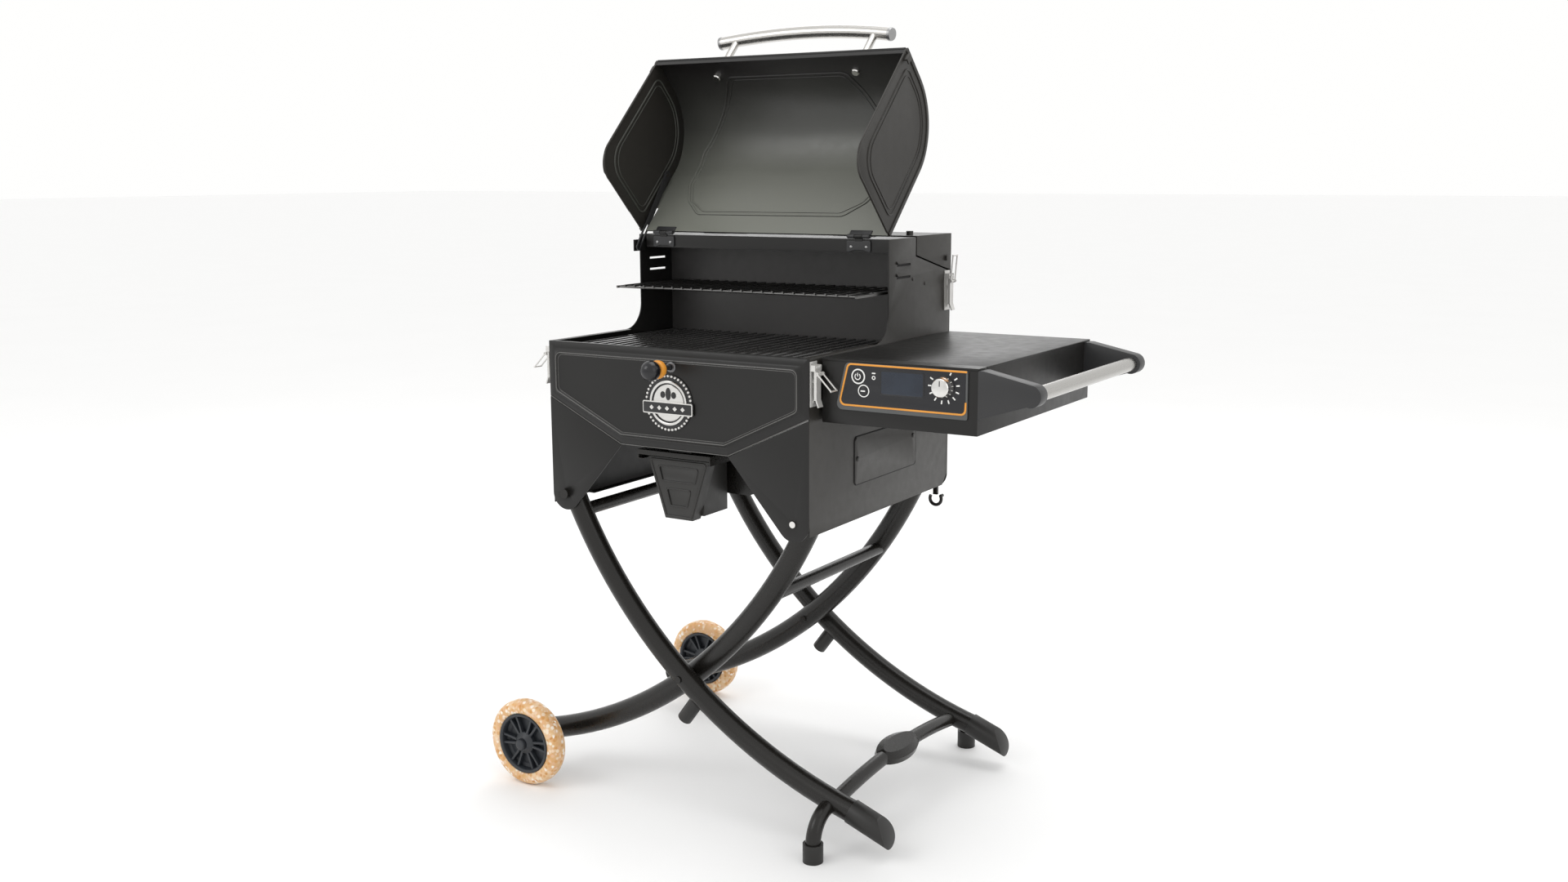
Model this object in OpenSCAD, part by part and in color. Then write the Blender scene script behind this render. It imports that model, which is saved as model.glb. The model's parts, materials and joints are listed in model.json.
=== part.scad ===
// Portable wood pellet smoker grill on a folding curved-leg stand.
// Millimetres, +Z up. X runs from the wheel side to the shelf side,
// Y from the front to the back, and Z = 0 is the ground.

/* [Body] */
// Width of the grill body
body_w = 500; // [480:5:520]
// Depth of the grill body
body_d = 478; // [470:1:490]
// Height of the firebox rim above the ground
rim_z = 772; // [765:1:780]
// Height of the rear tower's deck above the ground
tower_z = 937; // [930:1:945]
// Distance from the body's front face to the tower's front edge
tower_y = 252; // [248:1:256]
// Distance from the body's front face to the chamber's back wall
chamber_y = 345; // [340:1:350]
// Radius of the concave corner where the tower meets the rim
tower_fillet = 45; // [35:1:55]
// Sheet thickness of the casing
wall = 2; // [1.5:0.5:2.5]
// Height of the front panel's seam at the body's corners
seam_side_z = 680; // [670:1:690]
// Height of the front panel's lowest edge
seam_low_z = 611; // [605:1:620]
// Half length of the front panel's lowest edge
seam_half = 104; // [98:1:110]

/* [Lid] */
// Angle that the lid stands open, from closed
lid_open = 135; // [125:1:135]
// Radius of the lid's top front corner
lid_round = 105; // [95:1:110]
// Half length of the lid handle's bar
handle_half = 172; // [160:1:180]
// Outer diameter of the lid handle's bar
handle_od = 22; // [18:1:24]
// Half distance between the lid handle's posts
post_half = 139; // [130:1:145]

/* [Stand] */
// Radius of the bowed legs' centre lines
leg_r = 826; // [820:1:830]
// Outer diameter of the legs that end in feet
foot_leg_od = 36; // [34:0.5:36]
// Outer diameter of the legs that end in wheels
wheel_leg_od = 38; // [36:0.5:38]
// Half distance between the leg brackets' holes
pivot_x = 222; // [220:1:223]
// Height of the leg brackets' holes above the ground
pivot_z = 517; // [514:1:520]
// Wall of the steel tubes
tube_t = 1.6; // [1.2:0.1:2]

/* [Wheels] */
// Radius of the tyres
wheel_r = 75; // [73:1:78]
// Width of the tyres
wheel_w = 32; // [30:1:36]
// Distance from the body's middle to the wheel axles
wheel_x = 299; // [295:1:303]

/* [Shelf] */
// Distance from the body's middle to the shelf's outer end
shelf_x = 511; // [500:1:515]
// Height of the shelf's underside above the ground
shelf_z = 674; // [670:1:680]
// Outer diameter of the shelf handle's tube
shelf_handle_od = 22; // [18:1:24]

/* [Hidden] */

$fn = 64;
hw = body_w / 2;
mid_y = body_d / 2;
in_x = hw - wall;
leg_cx = leg_r == 826 ? 527 : sqrt(pow(leg_r, 2) - pow(866 - pivot_z, 2)) - pivot_x;
leg_cz = 866;
// planes of the front pair of legs, outer and inner; the rear pair mirrors them
ya = 20.5;
yb = 61;
foot_x = 279;
cap_y = -38;
cap_r = 16;
cap_h = 30;
bar_z = 72;
wheel_y = -30;
knob_y = -58;
knob_r = 14;
rod_z = 744;
// lid hinge axis
hy = tower_y - 2;
hz = tower_z + 4;
lid_top = tower_z + 8;
lid_front = -4;
lid_rim = rim_z + 2;
// handle bracket tip
tip_x = 590;
tip_z = 737;
tip_r = 16;
// middle of the whole object's box
x_lo = -wheel_x - wheel_r;
x_hi = tip_x + tip_r;
y_lo = knob_y - knob_r;
y_hi = body_d - cap_y + cap_r;
cx = (x_lo + x_hi) / 2;
cy = (y_lo + y_hi) / 2;

c_black = [0.13, 0.13, 0.135];
c_warm = [0.2, 0.195, 0.185];
c_steel = [0.75, 0.75, 0.73];
c_chrome = [0.82, 0.82, 0.84];
c_orange = [0.93, 0.55, 0.12];
c_plastic = [0.09, 0.09, 0.1];

module home() translate([-cx, -cy, 0]) children();
// a plate in the XZ plane between y0 and y0 + t
module xz(y0, t) translate([0, y0 + t, 0]) rotate([90, 0, 0]) linear_extrude(t) children();
// a plate in the YZ plane between x0 and x0 + t, drawn as [y, z]
module yz(x0, t) translate([x0, 0, 0]) rotate([90, 0, 90]) linear_extrude(t) children();
// a box from corner a to corner b
module bx(a, b) translate(a) cube([b[0] - a[0], b[1] - a[1], b[2] - a[2]]);
// cylinders along X and Y
module cylx(p, r, l) translate(p) rotate([0, 90, 0]) cylinder(r = r, h = l);
module cyly(p, r, l) translate(p) rotate([-90, 0, 0]) cylinder(r = r, h = l);
// the same thing at the front and mirrored to the back
module both() { children(); translate([0, body_d, 0]) mirror([0, 1, 0]) children(); }
module back() translate([0, body_d, 0]) mirror([0, 1, 0]) children();
// the lid's open position, from closed
module opened() translate([0, hy, hz]) rotate([-lid_open, 0, 0]) translate([0, -hy, -hz]) children();

// ---------------------------------------------------------------- casing
tan_a = atan2(seam_low_z - pivot_z, seam_half - pivot_x) + acos(28 / norm([seam_half - pivot_x, seam_low_z - pivot_z]));
// the pointed flange that carries a leg bracket, on the +X side
module wedge_2d() difference() {
  union() {
    polygon([[hw, seam_side_z - 1.2], [seam_half, seam_low_z - 1.2],
      [pivot_x + 28 * cos(tan_a), pivot_z + 28 * sin(tan_a)], [pivot_x, pivot_z], [hw, pivot_z]]);
    translate([pivot_x, pivot_z]) circle(28);
  }
  translate([pivot_x, pivot_z]) circle(5.2);
}
// side outline as [y, z]: firebox, tower and the cut for the hopper lid
module side_2d() {
    polygon([[wall, 499], [body_d - 20, 499], [body_d - wall, 519], [body_d - wall, 874],
      [450, 880.5], [chamber_y + 1, 905.5], [chamber_y + 1, tower_z], [tower_y, tower_z], [tower_y, rim_z],
      [wall, rim_z]]);
  difference() {
    translate([tower_y - tower_fillet, rim_z - 1]) square([tower_fillet + 1, tower_fillet + 1]);
    translate([tower_y - tower_fillet, rim_z + tower_fillet]) circle(tower_fillet);
  }
}
module side_panel(right) {
  difference() {
    union() {
      yz(in_x, wall) side_2d();
      both() xz(0, wall) intersection() { wedge_2d(); translate([0, 400]) square([hw, 400]); }
      // rolled bottom edge and rim flange
      bx([hw - 14, 90, 499], [in_x, body_d - 90, 501]);
      bx([hw - 12, wall, rim_z - 2], [in_x, tower_y - tower_fillet, rim_z]);
      // grate ledge
      bx([hw - 20, 12, 748], [in_x, chamber_y - 4, 750]);
    }
    // louvre slots
    for (i = [0:1]) bx([in_x - 1, 279, 872 + 20 * i], [hw + 1, 327, 875.4 + 20 * i]);
  }
  // pressed louvre hoods
  for (i = [0:1]) translate([in_x + wall, 0, 875.4 + 20 * i]) rotate([90, 0, 0])
    translate([0, 0, -329]) linear_extrude(52) polygon([[0, 0], [0, 6], [4, 1]]);
}
module side_panel_right() color(c_warm) home() side_panel(true);
module side_panel_left() color(c_black) home() {
  mirror([1, 0, 0]) side_panel(false);
  // tab and pin for the lid stay, forward of the tower's edge
  bx([-in_x, 256, 908], [-in_x + 4.6, 262, 928]);
  yz(-in_x + 2.8, 1.8) polygon([[228, 908], [262, 908], [262, 928], [228, 928]]);
  cylx([-in_x + 4.6, 238, 918], 3, 1.2);
}
module hexagon_2d(o, oz) polygon([[-hw + o, rim_z - oz], [hw - o, rim_z - oz], [hw - o, seam_side_z + o * 0.9],
  [seam_half - o * 0.4, seam_low_z + o * 1.2], [-seam_half + o * 0.4, seam_low_z + o * 1.2], [-hw + o, seam_side_z + o * 0.9]]);
module front_panel() color(c_black) home() difference() {
  union() {
    xz(0, wall) hexagon_2d(0, 0);
    xz(-2, 2) hexagon_2d(20, 15);
    bx([-hw + 12, wall, rim_z - 2], [hw - 12, 7.5, rim_z]);
    bx([-seam_half, wall, seam_low_z], [seam_half, 14, seam_low_z + 2]);
    cyly([0, -4, rod_z], 9, 4);
  }
  cyly([0, -5, rod_z], 4.4, 20);
}
module rear_panel() color(c_black) home() difference() {
  xz(body_d - wall, wall) intersection() { hexagon_2d(0, -120); translate([-hw, 600]) square([body_w, 874 - 600]); }
  // cooling slots for the drive
  for (i = [0:5]) bx([-40 + 14 * i, body_d - 4, 640], [-34 + 14 * i, body_d + 1, 680]);
  // opening for the power inlet
  bx([-132, body_d - 4, 650], [-105, body_d + 1, 670]);
}
module trough_2d(top) polygon([[-in_x, seam_side_z + 1], [-seam_half, seam_low_z + 3], [seam_half, seam_low_z + 3], [in_x, seam_side_z + 1],
  [in_x, seam_side_z + 3.2], [seam_half - 0.5, seam_low_z + 5.2], [-seam_half + 0.5, seam_low_z + 5.2], [-in_x, seam_side_z + 3.2]]);
module firebox_floor() color(c_black) home() difference() {
  xz(wall, chamber_y - wall) trough_2d();
  translate([0, 200, 600]) cylinder(r = 42.2, h = 40);
  bx([-20, 20, 600], [20, 44, 630]);
}
module chamber_wall() color(c_black) home() {
  difference() {
    xz(chamber_y, wall) polygon([[-in_x, tower_z - 2], [in_x, tower_z - 2], [in_x, seam_side_z + 1], [seam_half, seam_low_z + 3],
      [-seam_half, seam_low_z + 3], [-in_x, seam_side_z + 1]]);
    cyly([0, chamber_y - 2, 656], 27.2, 6);
  }
  // hopper's sloping floor
  difference() {
    xz(chamber_y + wall, body_d - chamber_y - 2 * wall) polygon([[-in_x, 830], [-30, 684], [30, 684], [in_x, 830],
      [in_x, 832.6], [29, 686], [-29, 686], [-in_x, 832.6]]);
    bx([-22, 380, 680], [22, 430, 690]);
  }
  // shelf pegs that carry the rack
  for (s = [-1, 1]) bx([s > 0 ? 230 : -in_x, chamber_y - 60, 845], [s > 0 ? in_x : -230, chamber_y, 847]);
}
hinge_x = 195;
module tower_deck() color(c_black) home() {
  difference() {
    union() {
      bx([-in_x, tower_y + 2, tower_z - 2], [in_x, chamber_y + 1, tower_z]);
      bx([-in_x + 14, tower_y, tower_z - 22], [in_x, tower_y + 2, tower_z]);
    }
    bx([-in_x - 1, tower_y - 2, tower_z - 30], [-in_x + 14, 300, tower_z + 2]);
  }
  // fixed hinge leaves, middle knuckles and pins
  for (s = [-1, 1]) translate([s * hinge_x, 0, 0]) {
    bx([-21, tower_y - 1.5, tower_z - 18], [21, tower_y, tower_z - 1]);
    cylx([-7, hy, hz], 3.6, 14);
    bx([-7, hy - 1, tower_z - 4], [7, tower_y, hz]);
    cylx([-22, hy, hz], 1.9, 44);
  }
  // hopper lid's hinge pins and knuckles
  for (s = [-1, 1]) translate([s * 150, 0, 0]) {
    cylx([-10, chamber_y, tower_z + 3.2], 3, 20);
    bx([-10, chamber_y - 6, tower_z], [10, chamber_y, tower_z + 3]);
    cylx([-25, chamber_y, tower_z + 3.2], 1.5, 50);
  }
}
// ---------------------------------------------------------------- leg brackets
module bracket_plate_2d() difference() {
  union() { translate([214.5, 502]) square([in_x - 214.5, 60]); translate([pivot_x, pivot_z]) circle(14); }
  translate([230, 480]) square([40, 19]);
  translate([pivot_x - 20, 480]) square([12.5, 60]);
  translate([pivot_x, pivot_z]) circle(5);
}
module leg_brackets() color(c_black) home() {
  both() {
    // plate and bolt behind the foot leg's top
    mirror([1, 0, 0]) xz(39.2, 2) bracket_plate_2d();
    cyly([-pivot_x, -1, pivot_z], 5, 46);
    cyly([-pivot_x, -7, pivot_z], 8, 7);
    cyly([-pivot_x, 41.2, pivot_z], 8, 5);
    // channel around the wheel leg's top
    xz(39.2, 2) bracket_plate_2d();
    xz(80.8, 2) bracket_plate_2d();
    bx([in_x - 3, 39.2, 530], [in_x, 82.8, 562]);
    cyly([pivot_x, 8, pivot_z], 8, 31.4);
    cyly([pivot_x, 8, pivot_z], 5, 78);
    cyly([pivot_x, 82.8, pivot_z], 8, 4);
  }
  // carrying hook at the rear right bracket
  translate([232, body_d - 8, 470]) rotate([90, 0, 0]) rotate([0, 0, 150]) rotate_extrude(angle = 240) translate([11, 0]) circle(3);
  cyly([232 + 11 * cos(30), body_d - 8.1, 470 + 11 * sin(30)], 3, 8.1);
  bx([228, body_d - 11, 478], [236, body_d - 5, 502]);
}
// ---------------------------------------------------------------- burner
module burn_pot() color(c_steel) home() {
  difference() {
    translate([0, 200, 588]) cylinder(r = 42, h = 40);
    translate([0, 200, 592]) cylinder(r = 39, h = 60);
    for (a = [0:45:315]) translate([0, 200, 606]) rotate([0, 90, a]) cylinder(r = 3, h = 60);
    cyly([0, 235, 606], 7, 20);
  }
  cyly([0, 216, 606], 5, 40);
}
module burner_box() color(c_black) home() {
  translate([0, 200, 552]) cylinder(r = 14, h = 34);
  translate([0, 200, 531]) cylinder(r = 3, h = 22);
  bx([-62, 198, 583], [62, 202, 587]);
  burner_shell();
}
module burner_shell() difference() {
  bx([-64, 120, 522], [64, 330, seam_low_z]);
  bx([-62, 122, 524], [62, 328, 586]);
  translate([0, 200, 570]) cylinder(r = 42.2, h = 60);
  bx([-62, 250, 580], [62, 328, 620]);
  cyly([0, 236, 606], 5.6, 20);
  translate([0, 200, 520]) cylinder(r = 34, h = 10);
  for (i = [0:2]) bx([60, 140, 572 + 12 * i], [68, 176, 577 + 12 * i]);
}
module auger_tube() color(c_steel) home() {
  difference() {
    cyly([0, 236, 656], 27, body_d - 40 - 236);
    cyly([0, 230, 656], 24, body_d - 40 - 236);
    bx([-20, 382, 656], [20, 428, 690]);
    bx([-20, 240, 620], [20, 262, 640]);
    cyly([0, 420, 656], 6.08, 60);
  }
  // gear motor behind it
  difference() {
    bx([-32, body_d - 40, 624], [32, body_d - 4, 682]);
    cyly([0, body_d - 41, 656], 6.08, 12);
  }
}
module auger() color(c_steel) home() translate([0, 246, 656]) rotate([-90, 0, 0]) {
  cylinder(r = 6, h = 200, $fn = 24);
  linear_extrude(height = 176, twist = -1260, slices = 42) square([43, 4], center = true);
}
module fan_impeller() color(c_plastic) home() translate([0, 200, 528]) difference() {
  union() {
    cylinder(r = 12, h = 21);
    cylinder(r = 30, h = 2);
    for (a = [0:30:330]) rotate([0, 0, a]) translate([11, -1, 0]) cube([18, 2, 20]);
  }
  cylinder(r = 3.06, h = 60, center = true);
}
module heat_baffle() color([0.3, 0.3, 0.31]) home() difference() {
  xz(24, 300) polygon([[-207, 664.8], [-197, 696], [-80, 686], [80, 686], [197, 696], [207, 664.8], [209, 665.4], [198.5, 698.2], [80, 688], [-80, 688], [-198.5, 698.2], [-209, 665.4]]);
  for (i = [0:5]) bx([-54 + 20 * i, 90, 680], [-46 + 20 * i, 230, 690]);
}
module broiler_rod() color(c_chrome) home() {
  cyly([0, knob_y + 8, rod_z], 4, 93 - knob_y - 8);
  bx([-8, 90, 690], [8, 93, rod_z + 4.6]);
  difference() {
    bx([-66, 90, 688.6], [66, 250, 690.6]);
    for (i = [0:4]) bx([-44 + 20 * i, 110, 685], [-36 + 20 * i, 230, 692]);
  }
}
module ball_knob() color(c_plastic) home() difference() {
  union() {
    translate([0, knob_y, rod_z]) sphere(r = knob_r);
    cyly([0, knob_y + 10, rod_z], 9.5, 17);
  }
  cyly([0, knob_y + 8, rod_z], 4, 60);
}
// ---------------------------------------------------------------- drip and bucket
module bucket_holder() color(c_black) home() difference() {
  union() {
    bx([-76, 6, 603], [66, 112, 605]);
    bx([-76, 6, 597], [66, 8, 605]);
    bx([-76, 6, 590], [-74, 112, 605]);
    bx([64, 6, 590], [66, 112, 605]);
    bx([-75, 6, 590], [-66, 112, 591.2]);
    bx([60, 6, 590], [65, 112, 591.2]);
    bx([-22, 18, 605], [22, 46, seam_low_z + 3]);
  }
  bx([-18, 22, 600], [18, 42, 630]);
}
module frustum(y0, y1, xa, xb, za, ua, ub, zb) hull() {
  bx([xa, y0, za], [xb, y1, za + 0.01]);
  bx([ua, y0, zb - 0.01], [ub, y1, zb]);
}
module grease_bucket() color(c_warm) home() difference() {
  union() {
    frustum(16, 38, -30, 24, 495, -62, 56, 594);
    bx([-38, 37, 500], [32, 104, 593.4]);
    bx([-72, 42, 592], [63, 106, 593.4]);
  }
  bx([-36, 40, 502], [30, 102, 600]);
  bx([-30, 19, 560], [26, 60, 600]);
  frustum(10, 18, -19, 13, 516, -27, 21, 544);
  frustum(10, 18, -35, 29, 556, -42, 36, 580);
}
// ---------------------------------------------------------------- shelf and controls
panel_x0 = 283;
panel_x1 = 495;
module shelf_box() color(c_black) home() difference() {
  union() {
    difference() {
      bx([257, 27, shelf_z], [shelf_x, 465, 768]);
      bx([259, 29, shelf_z + 2], [shelf_x - 2, 463, 770]);
    }
    bx([hw, 60, 700], [257, 90, 760]);
    bx([hw, 390, 700], [257, 420, 760]);
  }
  bx([panel_x0 + 20, 20, 699], [panel_x1 - 4, 35, 762]);
}
module shelf_top() color(c_black) home() {
  bx([255, 56, 768], [shelf_x + 1, 466, 771]);
  bx([255, 26, 768], [shelf_x + 1, 55, 771]);
}
dial_x = 460; dial_z = 742;
module control_panel() color(c_plastic) home() difference() {
  union() {
    xz(24, 3) polygon([[panel_x0 - 1, 696], [panel_x1, 696], [panel_x1, 767], [panel_x0 + 15, 767]]);
    bx([panel_x0 + 24, 27, 703], [panel_x1 - 8, 34, 758]);
    bx([310, 34, 705], [480, 36, 756]);
  }
  cyly([321, 20, 748], 8.8, 13);
  cyly([330, 20, 727], 7.4, 13);
  cyly([dial_x, 20, dial_z], 3.1, 30);
}
module power_button() color(c_plastic) home() cyly([321, 22.6, 748], 8.5, 6);
module prime_button() color(c_plastic) home() cyly([330, 22.6, 727], 7.1, 6);
module dial_knob() color(c_chrome) home() {
  cyly([dial_x, 8, dial_z], 16, 2);
  cyly([dial_x, 9.5, dial_z], 16.5, 14);
  cyly([dial_x, 22, dial_z], 3.05, 12);
}
module shelf_handle() color(c_steel) home() difference() {
  cyly([tip_x, 51, tip_z], shelf_handle_od / 2, 390);
  cyly([tip_x, 50, tip_z], shelf_handle_od / 2 - 1.5, 392);
}
ba = atan2(768 - tip_z, shelf_x - tip_x);
module handle_brackets() color(c_plastic) home() both2() {
  xz(27, 24) union() {
    polygon([[shelf_x, 698], [shelf_x, 768], [shelf_x + 8, 768], [tip_x + 4, tip_z + 15.5], [tip_x, tip_z], [tip_x - 5, tip_z - 15.2]]);
    translate([tip_x, tip_z]) circle(tip_r);
  }
}
module both2() { children(); translate([0, 492, 0]) mirror([0, 1, 0]) children(); }
module access_cover() color(c_warm) home() {
  yz(hw, 1.4) polygon([[144, 556], [345, 556], [350, 562], [350, 626], [344, 632], [146, 632], [140, 626], [140, 560]]);
  for (p = [[148, 597], [340, 606]]) cylx([hw + 1.4, p[0], p[1]], 4, 2);
}
module power_inlet() color(c_plastic) home() difference() {
  union() {
    bx([-138, body_d, 644], [-99, body_d + 3, 676]);
    bx([-132, body_d - 20, 650], [-105, body_d, 670]);
  }
  bx([-129, body_d - 16, 653], [-108, body_d + 4, 667]);
}
// ---------------------------------------------------------------- lid
module lid_2d(o) difference() {
  polygon([[lid_front + o, lid_rim], [hy - 5, lid_rim], [hy - 5, lid_top - o], [lid_front + o, lid_top - o]]);
  difference() {
    translate([lid_front + o - 1, lid_top - lid_round]) square([lid_round + 1 - o, lid_round + 1]);
    translate([lid_front + lid_round, lid_top - lid_round]) circle(lid_round - o);
  }
  difference() {
    translate([tower_y - tower_fillet, lid_rim - 1]) square([tower_fillet, tower_fillet - 1]);
    translate([tower_y - tower_fillet, rim_z + tower_fillet]) circle(tower_fillet - 3);
  }
}
module lid_shell() color(c_black) home() opened() difference() {
  union() {
    bx([-hw + 4, lid_front, lid_rim], [hw - 4, lid_front + 2, lid_top - lid_round]);
    bx([-hw + 4, lid_front + lid_round, lid_top - 2], [hw - 4, hy - 5, lid_top]);
    yz(-hw + 4, body_w - 8) intersection() {
      difference() { translate([lid_front + lid_round, lid_top - lid_round]) circle(lid_round, $fn = 128); translate([lid_front + lid_round, lid_top - lid_round]) circle(lid_round - 2, $fn = 128); }
      translate([lid_front - 1, lid_top - lid_round]) square(lid_round + 1);
    }
    bx([-hw + 4, lid_front, lid_rim], [hw - 4, lid_front + 12, lid_rim + 2]);
  }
  bx([-hw + 7, 190, 900], [-hw + 12.4, hy + 2, lid_top + 1]);
}
// rolled edge along the end's front and top
module lid_band_2d() {
  translate([lid_front, lid_rim]) square([7, lid_top - lid_round - lid_rim]);
  translate([lid_front + lid_round, lid_top - 7]) square([hy - 5 - lid_front - lid_round, 7]);
  intersection() {
    difference() { translate([lid_front + lid_round, lid_top - lid_round]) circle(lid_round, $fn = 128); translate([lid_front + lid_round, lid_top - lid_round]) circle(lid_round - 7, $fn = 128); }
    translate([lid_front - 1, lid_top - lid_round]) square(lid_round + 1);
  }
}
module lid_ends() color(c_warm) home() opened() {
  for (s = [0, 1]) mirror([s, 0, 0]) {
    yz(hw - 4, 2) lid_2d(0);
    yz(hw - 2.5, 2.5) lid_band_2d();
    // catch for the latch
    bx([hw - 2.5, 5, lid_rim + 4], [hw + 5, 19, lid_rim + 7]);
    bx([hw + 3, 5, lid_rim + 4], [hw + 5, 19, lid_rim + 14]);
  }
  // pivot of the stay
  cylx([-hw + 4, 128, 925], 5, 4);
  cylx([-hw + 7, 128, 925], 2.95, 5);
}
module lid_handle() color(c_steel) home() opened() {
  hs = 17;
  hr = (pow(handle_half, 2) + hs * hs) / (2 * hs);
  ha = asin(handle_half / hr);
  difference() {
    translate([0, lid_front - 103 + hr, 816]) rotate([0, 0, -90 - ha]) rotate_extrude(angle = 2 * ha, $fn = 400) translate([hr, 0]) circle(d = handle_od);
    translate([0, lid_front - 103 + hr, 816]) rotate([0, 0, -91 - ha]) rotate_extrude(angle = 2 * ha + 2, $fn = 400) translate([hr, 0]) circle(d = handle_od - 4);
  }
  difference() {
    for (s = [-1, 1]) cyly([s * post_half, lid_front - 92, 816], 6.5, 92);
    translate([0, lid_front - 103 + hr, 816]) rotate([0, 0, -91 - ha]) rotate_extrude(angle = 2 * ha + 2, $fn = 400) translate([hr, 0]) circle(d = handle_od - 1);
  }
  for (s = [-1, 1]) cyly([s * post_half, lid_front + 2, 816], 5, 4);
}
module lid_hinges() color(c_plastic) home() opened() for (s = [-1, 1]) translate([s * hinge_x, 0, 0]) {
  bx([-20, hy - 14, lid_top - 3.5], [20, hy - 4, lid_top - 2]);
  for (k = [0, 1]) mirror([k, 0, 0]) difference() {
    union() { cylx([7.6, hy, hz], 3.6, 12.4); bx([7.6, hy - 6, hz + 0.5], [20, hy, hz + 2]); }
    cylx([7, hy, hz], 1.95, 14);
  }
}
// slotted arm between the lid's left end and the tab on the tower
stay_a = 9.2;
module lid_stay() color(c_plastic) home() opened() translate([-hw + 8.2, 128, 925]) rotate([stay_a, 0, 0]) difference() {
  yz(0, 3) union() {
    circle(8);
    translate([0, -6]) square([152, 12]);
    translate([152, 0]) circle(6);
  }
  cylx([-1, 0, 0], 3, 5);
  yz(-1, 5) union() { translate([106, 0]) circle(3.2); translate([106, -3.2]) square([46, 6.4]); translate([152, 0]) circle(3.2); }
}
module hopper_lid() color(c_warm) home() {
    union() {
      bx([-hw, chamber_y + 4.5, tower_z], [hw, body_d + 2.6, tower_z + 2]);
      for (s = [0, 1]) mirror([s, 0, 0]) yz(in_x, wall) polygon([[chamber_y + 4.5, tower_z + 2], [body_d + 2.6, tower_z + 2], [body_d + 2.6, 876.5], [450, 883], [chamber_y + 4.5, 907.5]]);
      bx([-hw, body_d + 0.6, 862], [hw, body_d + 2.6, tower_z + 2]);
      for (s = [0, 1]) mirror([s, 0, 0]) bx([90, chamber_y + 4.5, tower_z + 2], [135, chamber_y + 12, tower_z + 5]);
    }
  // knuckles beside the fixed ones
  for (s = [-1, 1], k = [0, 1]) translate([s * 150, 0, 0]) mirror([k, 0, 0]) difference() {
    union() { cylx([10.6, chamber_y, tower_z + 3.2], 3, 13); bx([10.6, chamber_y, tower_z + 1], [23.6, chamber_y + 6, tower_z + 4]); }
    cylx([10, chamber_y, tower_z + 3.2], 1.55, 15);
  }
  translate([225, 372, tower_z + 2]) cylinder(r = 6, h = 7);
  // keeper for the rear latch
  bx([hw, 456, 893], [hw + 4, 472, 896]);
  bx([hw + 2.4, 456, 893], [hw + 4, 472, 902]);
}
// ---------------------------------------------------------------- latches
// drawn on the +X side around a pivot at [hw + 7, y, z]
module l_base(y, z) translate([hw, y, z]) {
  bx([0, -9.5, -58], [1.6, 9.5, 10]);
  for (s = [-1, 1]) bx([1.6, s > 0 ? 8 : -9.5, -4], [9.5, s > 0 ? 9.5 : -8, 5]);
  cyly([7, -9.5, 0], 1.6, 19);
  for (h = [-50, -20]) cylx([1.6, 0, h], 3, 1);
}
module l_lever(y, z) translate([hw + 7, y, z]) difference() {
  union() {
    cyly([0, -6.6, 0], 3.4, 13.2);
    bx([1, -6.6, -48], [3, 6.6, 0]);
    bx([-1.4, -6.6, -48], [1, -5, 0]);
    bx([-1.4, 5, -48], [1, 6.6, 0]);
    translate([2, 0, -47]) rotate([0, -20, 0]) bx([-1, -6.6, -12], [1, 6.6, 0]);
    bx([0, -6.6, -11], [5.6, -5, -5]);
    bx([0, 5, -11], [5.6, 6.6, -5]);
    cyly([5, -9, -8], 1.3, 18);
  }
  cyly([0, -12, 0], 1.65, 24);
}
// wire bail from a pivot at [0, 0, 0], hanging along -Z
module bail(len) {
  for (s = [-1, 1]) {
    difference() { cyly([0, s * 8.2 - 1.3, 0], 2.8, 2.6); cyly([0, s * 8.2 - 3, 0], 1.35, 6); }
    translate([0, s * 8.2, -len]) cylinder(r = 1.2, h = len - 2.2);
  }
  cyly([0, -9.4, -len], 1.2, 18.8);
}
ry = 12; rz = 757;
module latch_bases() color(c_chrome) home() {
  l_base(ry, rz);
  mirror([1, 0, 0]) l_base(ry, rz);
  l_base(464, 866);
}
module latch_lever_right() color(c_chrome) home() l_lever(ry, rz);
module latch_lever_left() color(c_chrome) home() mirror([1, 0, 0]) l_lever(ry, rz);
module latch_lever_rear() color(c_chrome) home() l_lever(464, 866);
module latch_bail_right() color(c_chrome) home() translate([hw + 12, ry, rz - 8]) rotate([0, -45, 0]) bail(34);
module latch_bail_left() color(c_chrome) home() mirror([1, 0, 0]) translate([hw + 12, ry, rz - 8]) rotate([0, -45, 0]) bail(34);
module latch_bail_rear() color(c_chrome) home() translate([hw + 12, 464, 858]) rotate([0, 185, 0]) bail(44);
// ---------------------------------------------------------------- racks and grates
module warming_rack() color([0.35, 0.35, 0.36]) home() {
  for (y = [172, 252, 334]) cylx([-234, y, 849.8], 2, 468);
  for (s = [-1, 1]) bx([s * 236 - 2, 168, 847.8], [s * 236 + 2, 338, 851.8]);
  for (i = [-11:11]) cyly([i * 20, 168, 852.6], 1.5, 170);
}
module grate(x0, x1) {
  for (y = [15, 174, 334]) bx([x0, y, 750.6], [x1, y + 6, 758]);
  n = 12;
  for (i = [0:n]) bx([x0 + i * (x1 - x0 - 6) / n, 15, 754], [x0 + 6 + i * (x1 - x0 - 6) / n, 340, 764]);
}
module grate_left() color([0.08, 0.08, 0.085]) home() grate(-237.4, -1.5);
module grate_right() color([0.08, 0.08, 0.085]) home() grate(1.5, 237.4);
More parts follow.
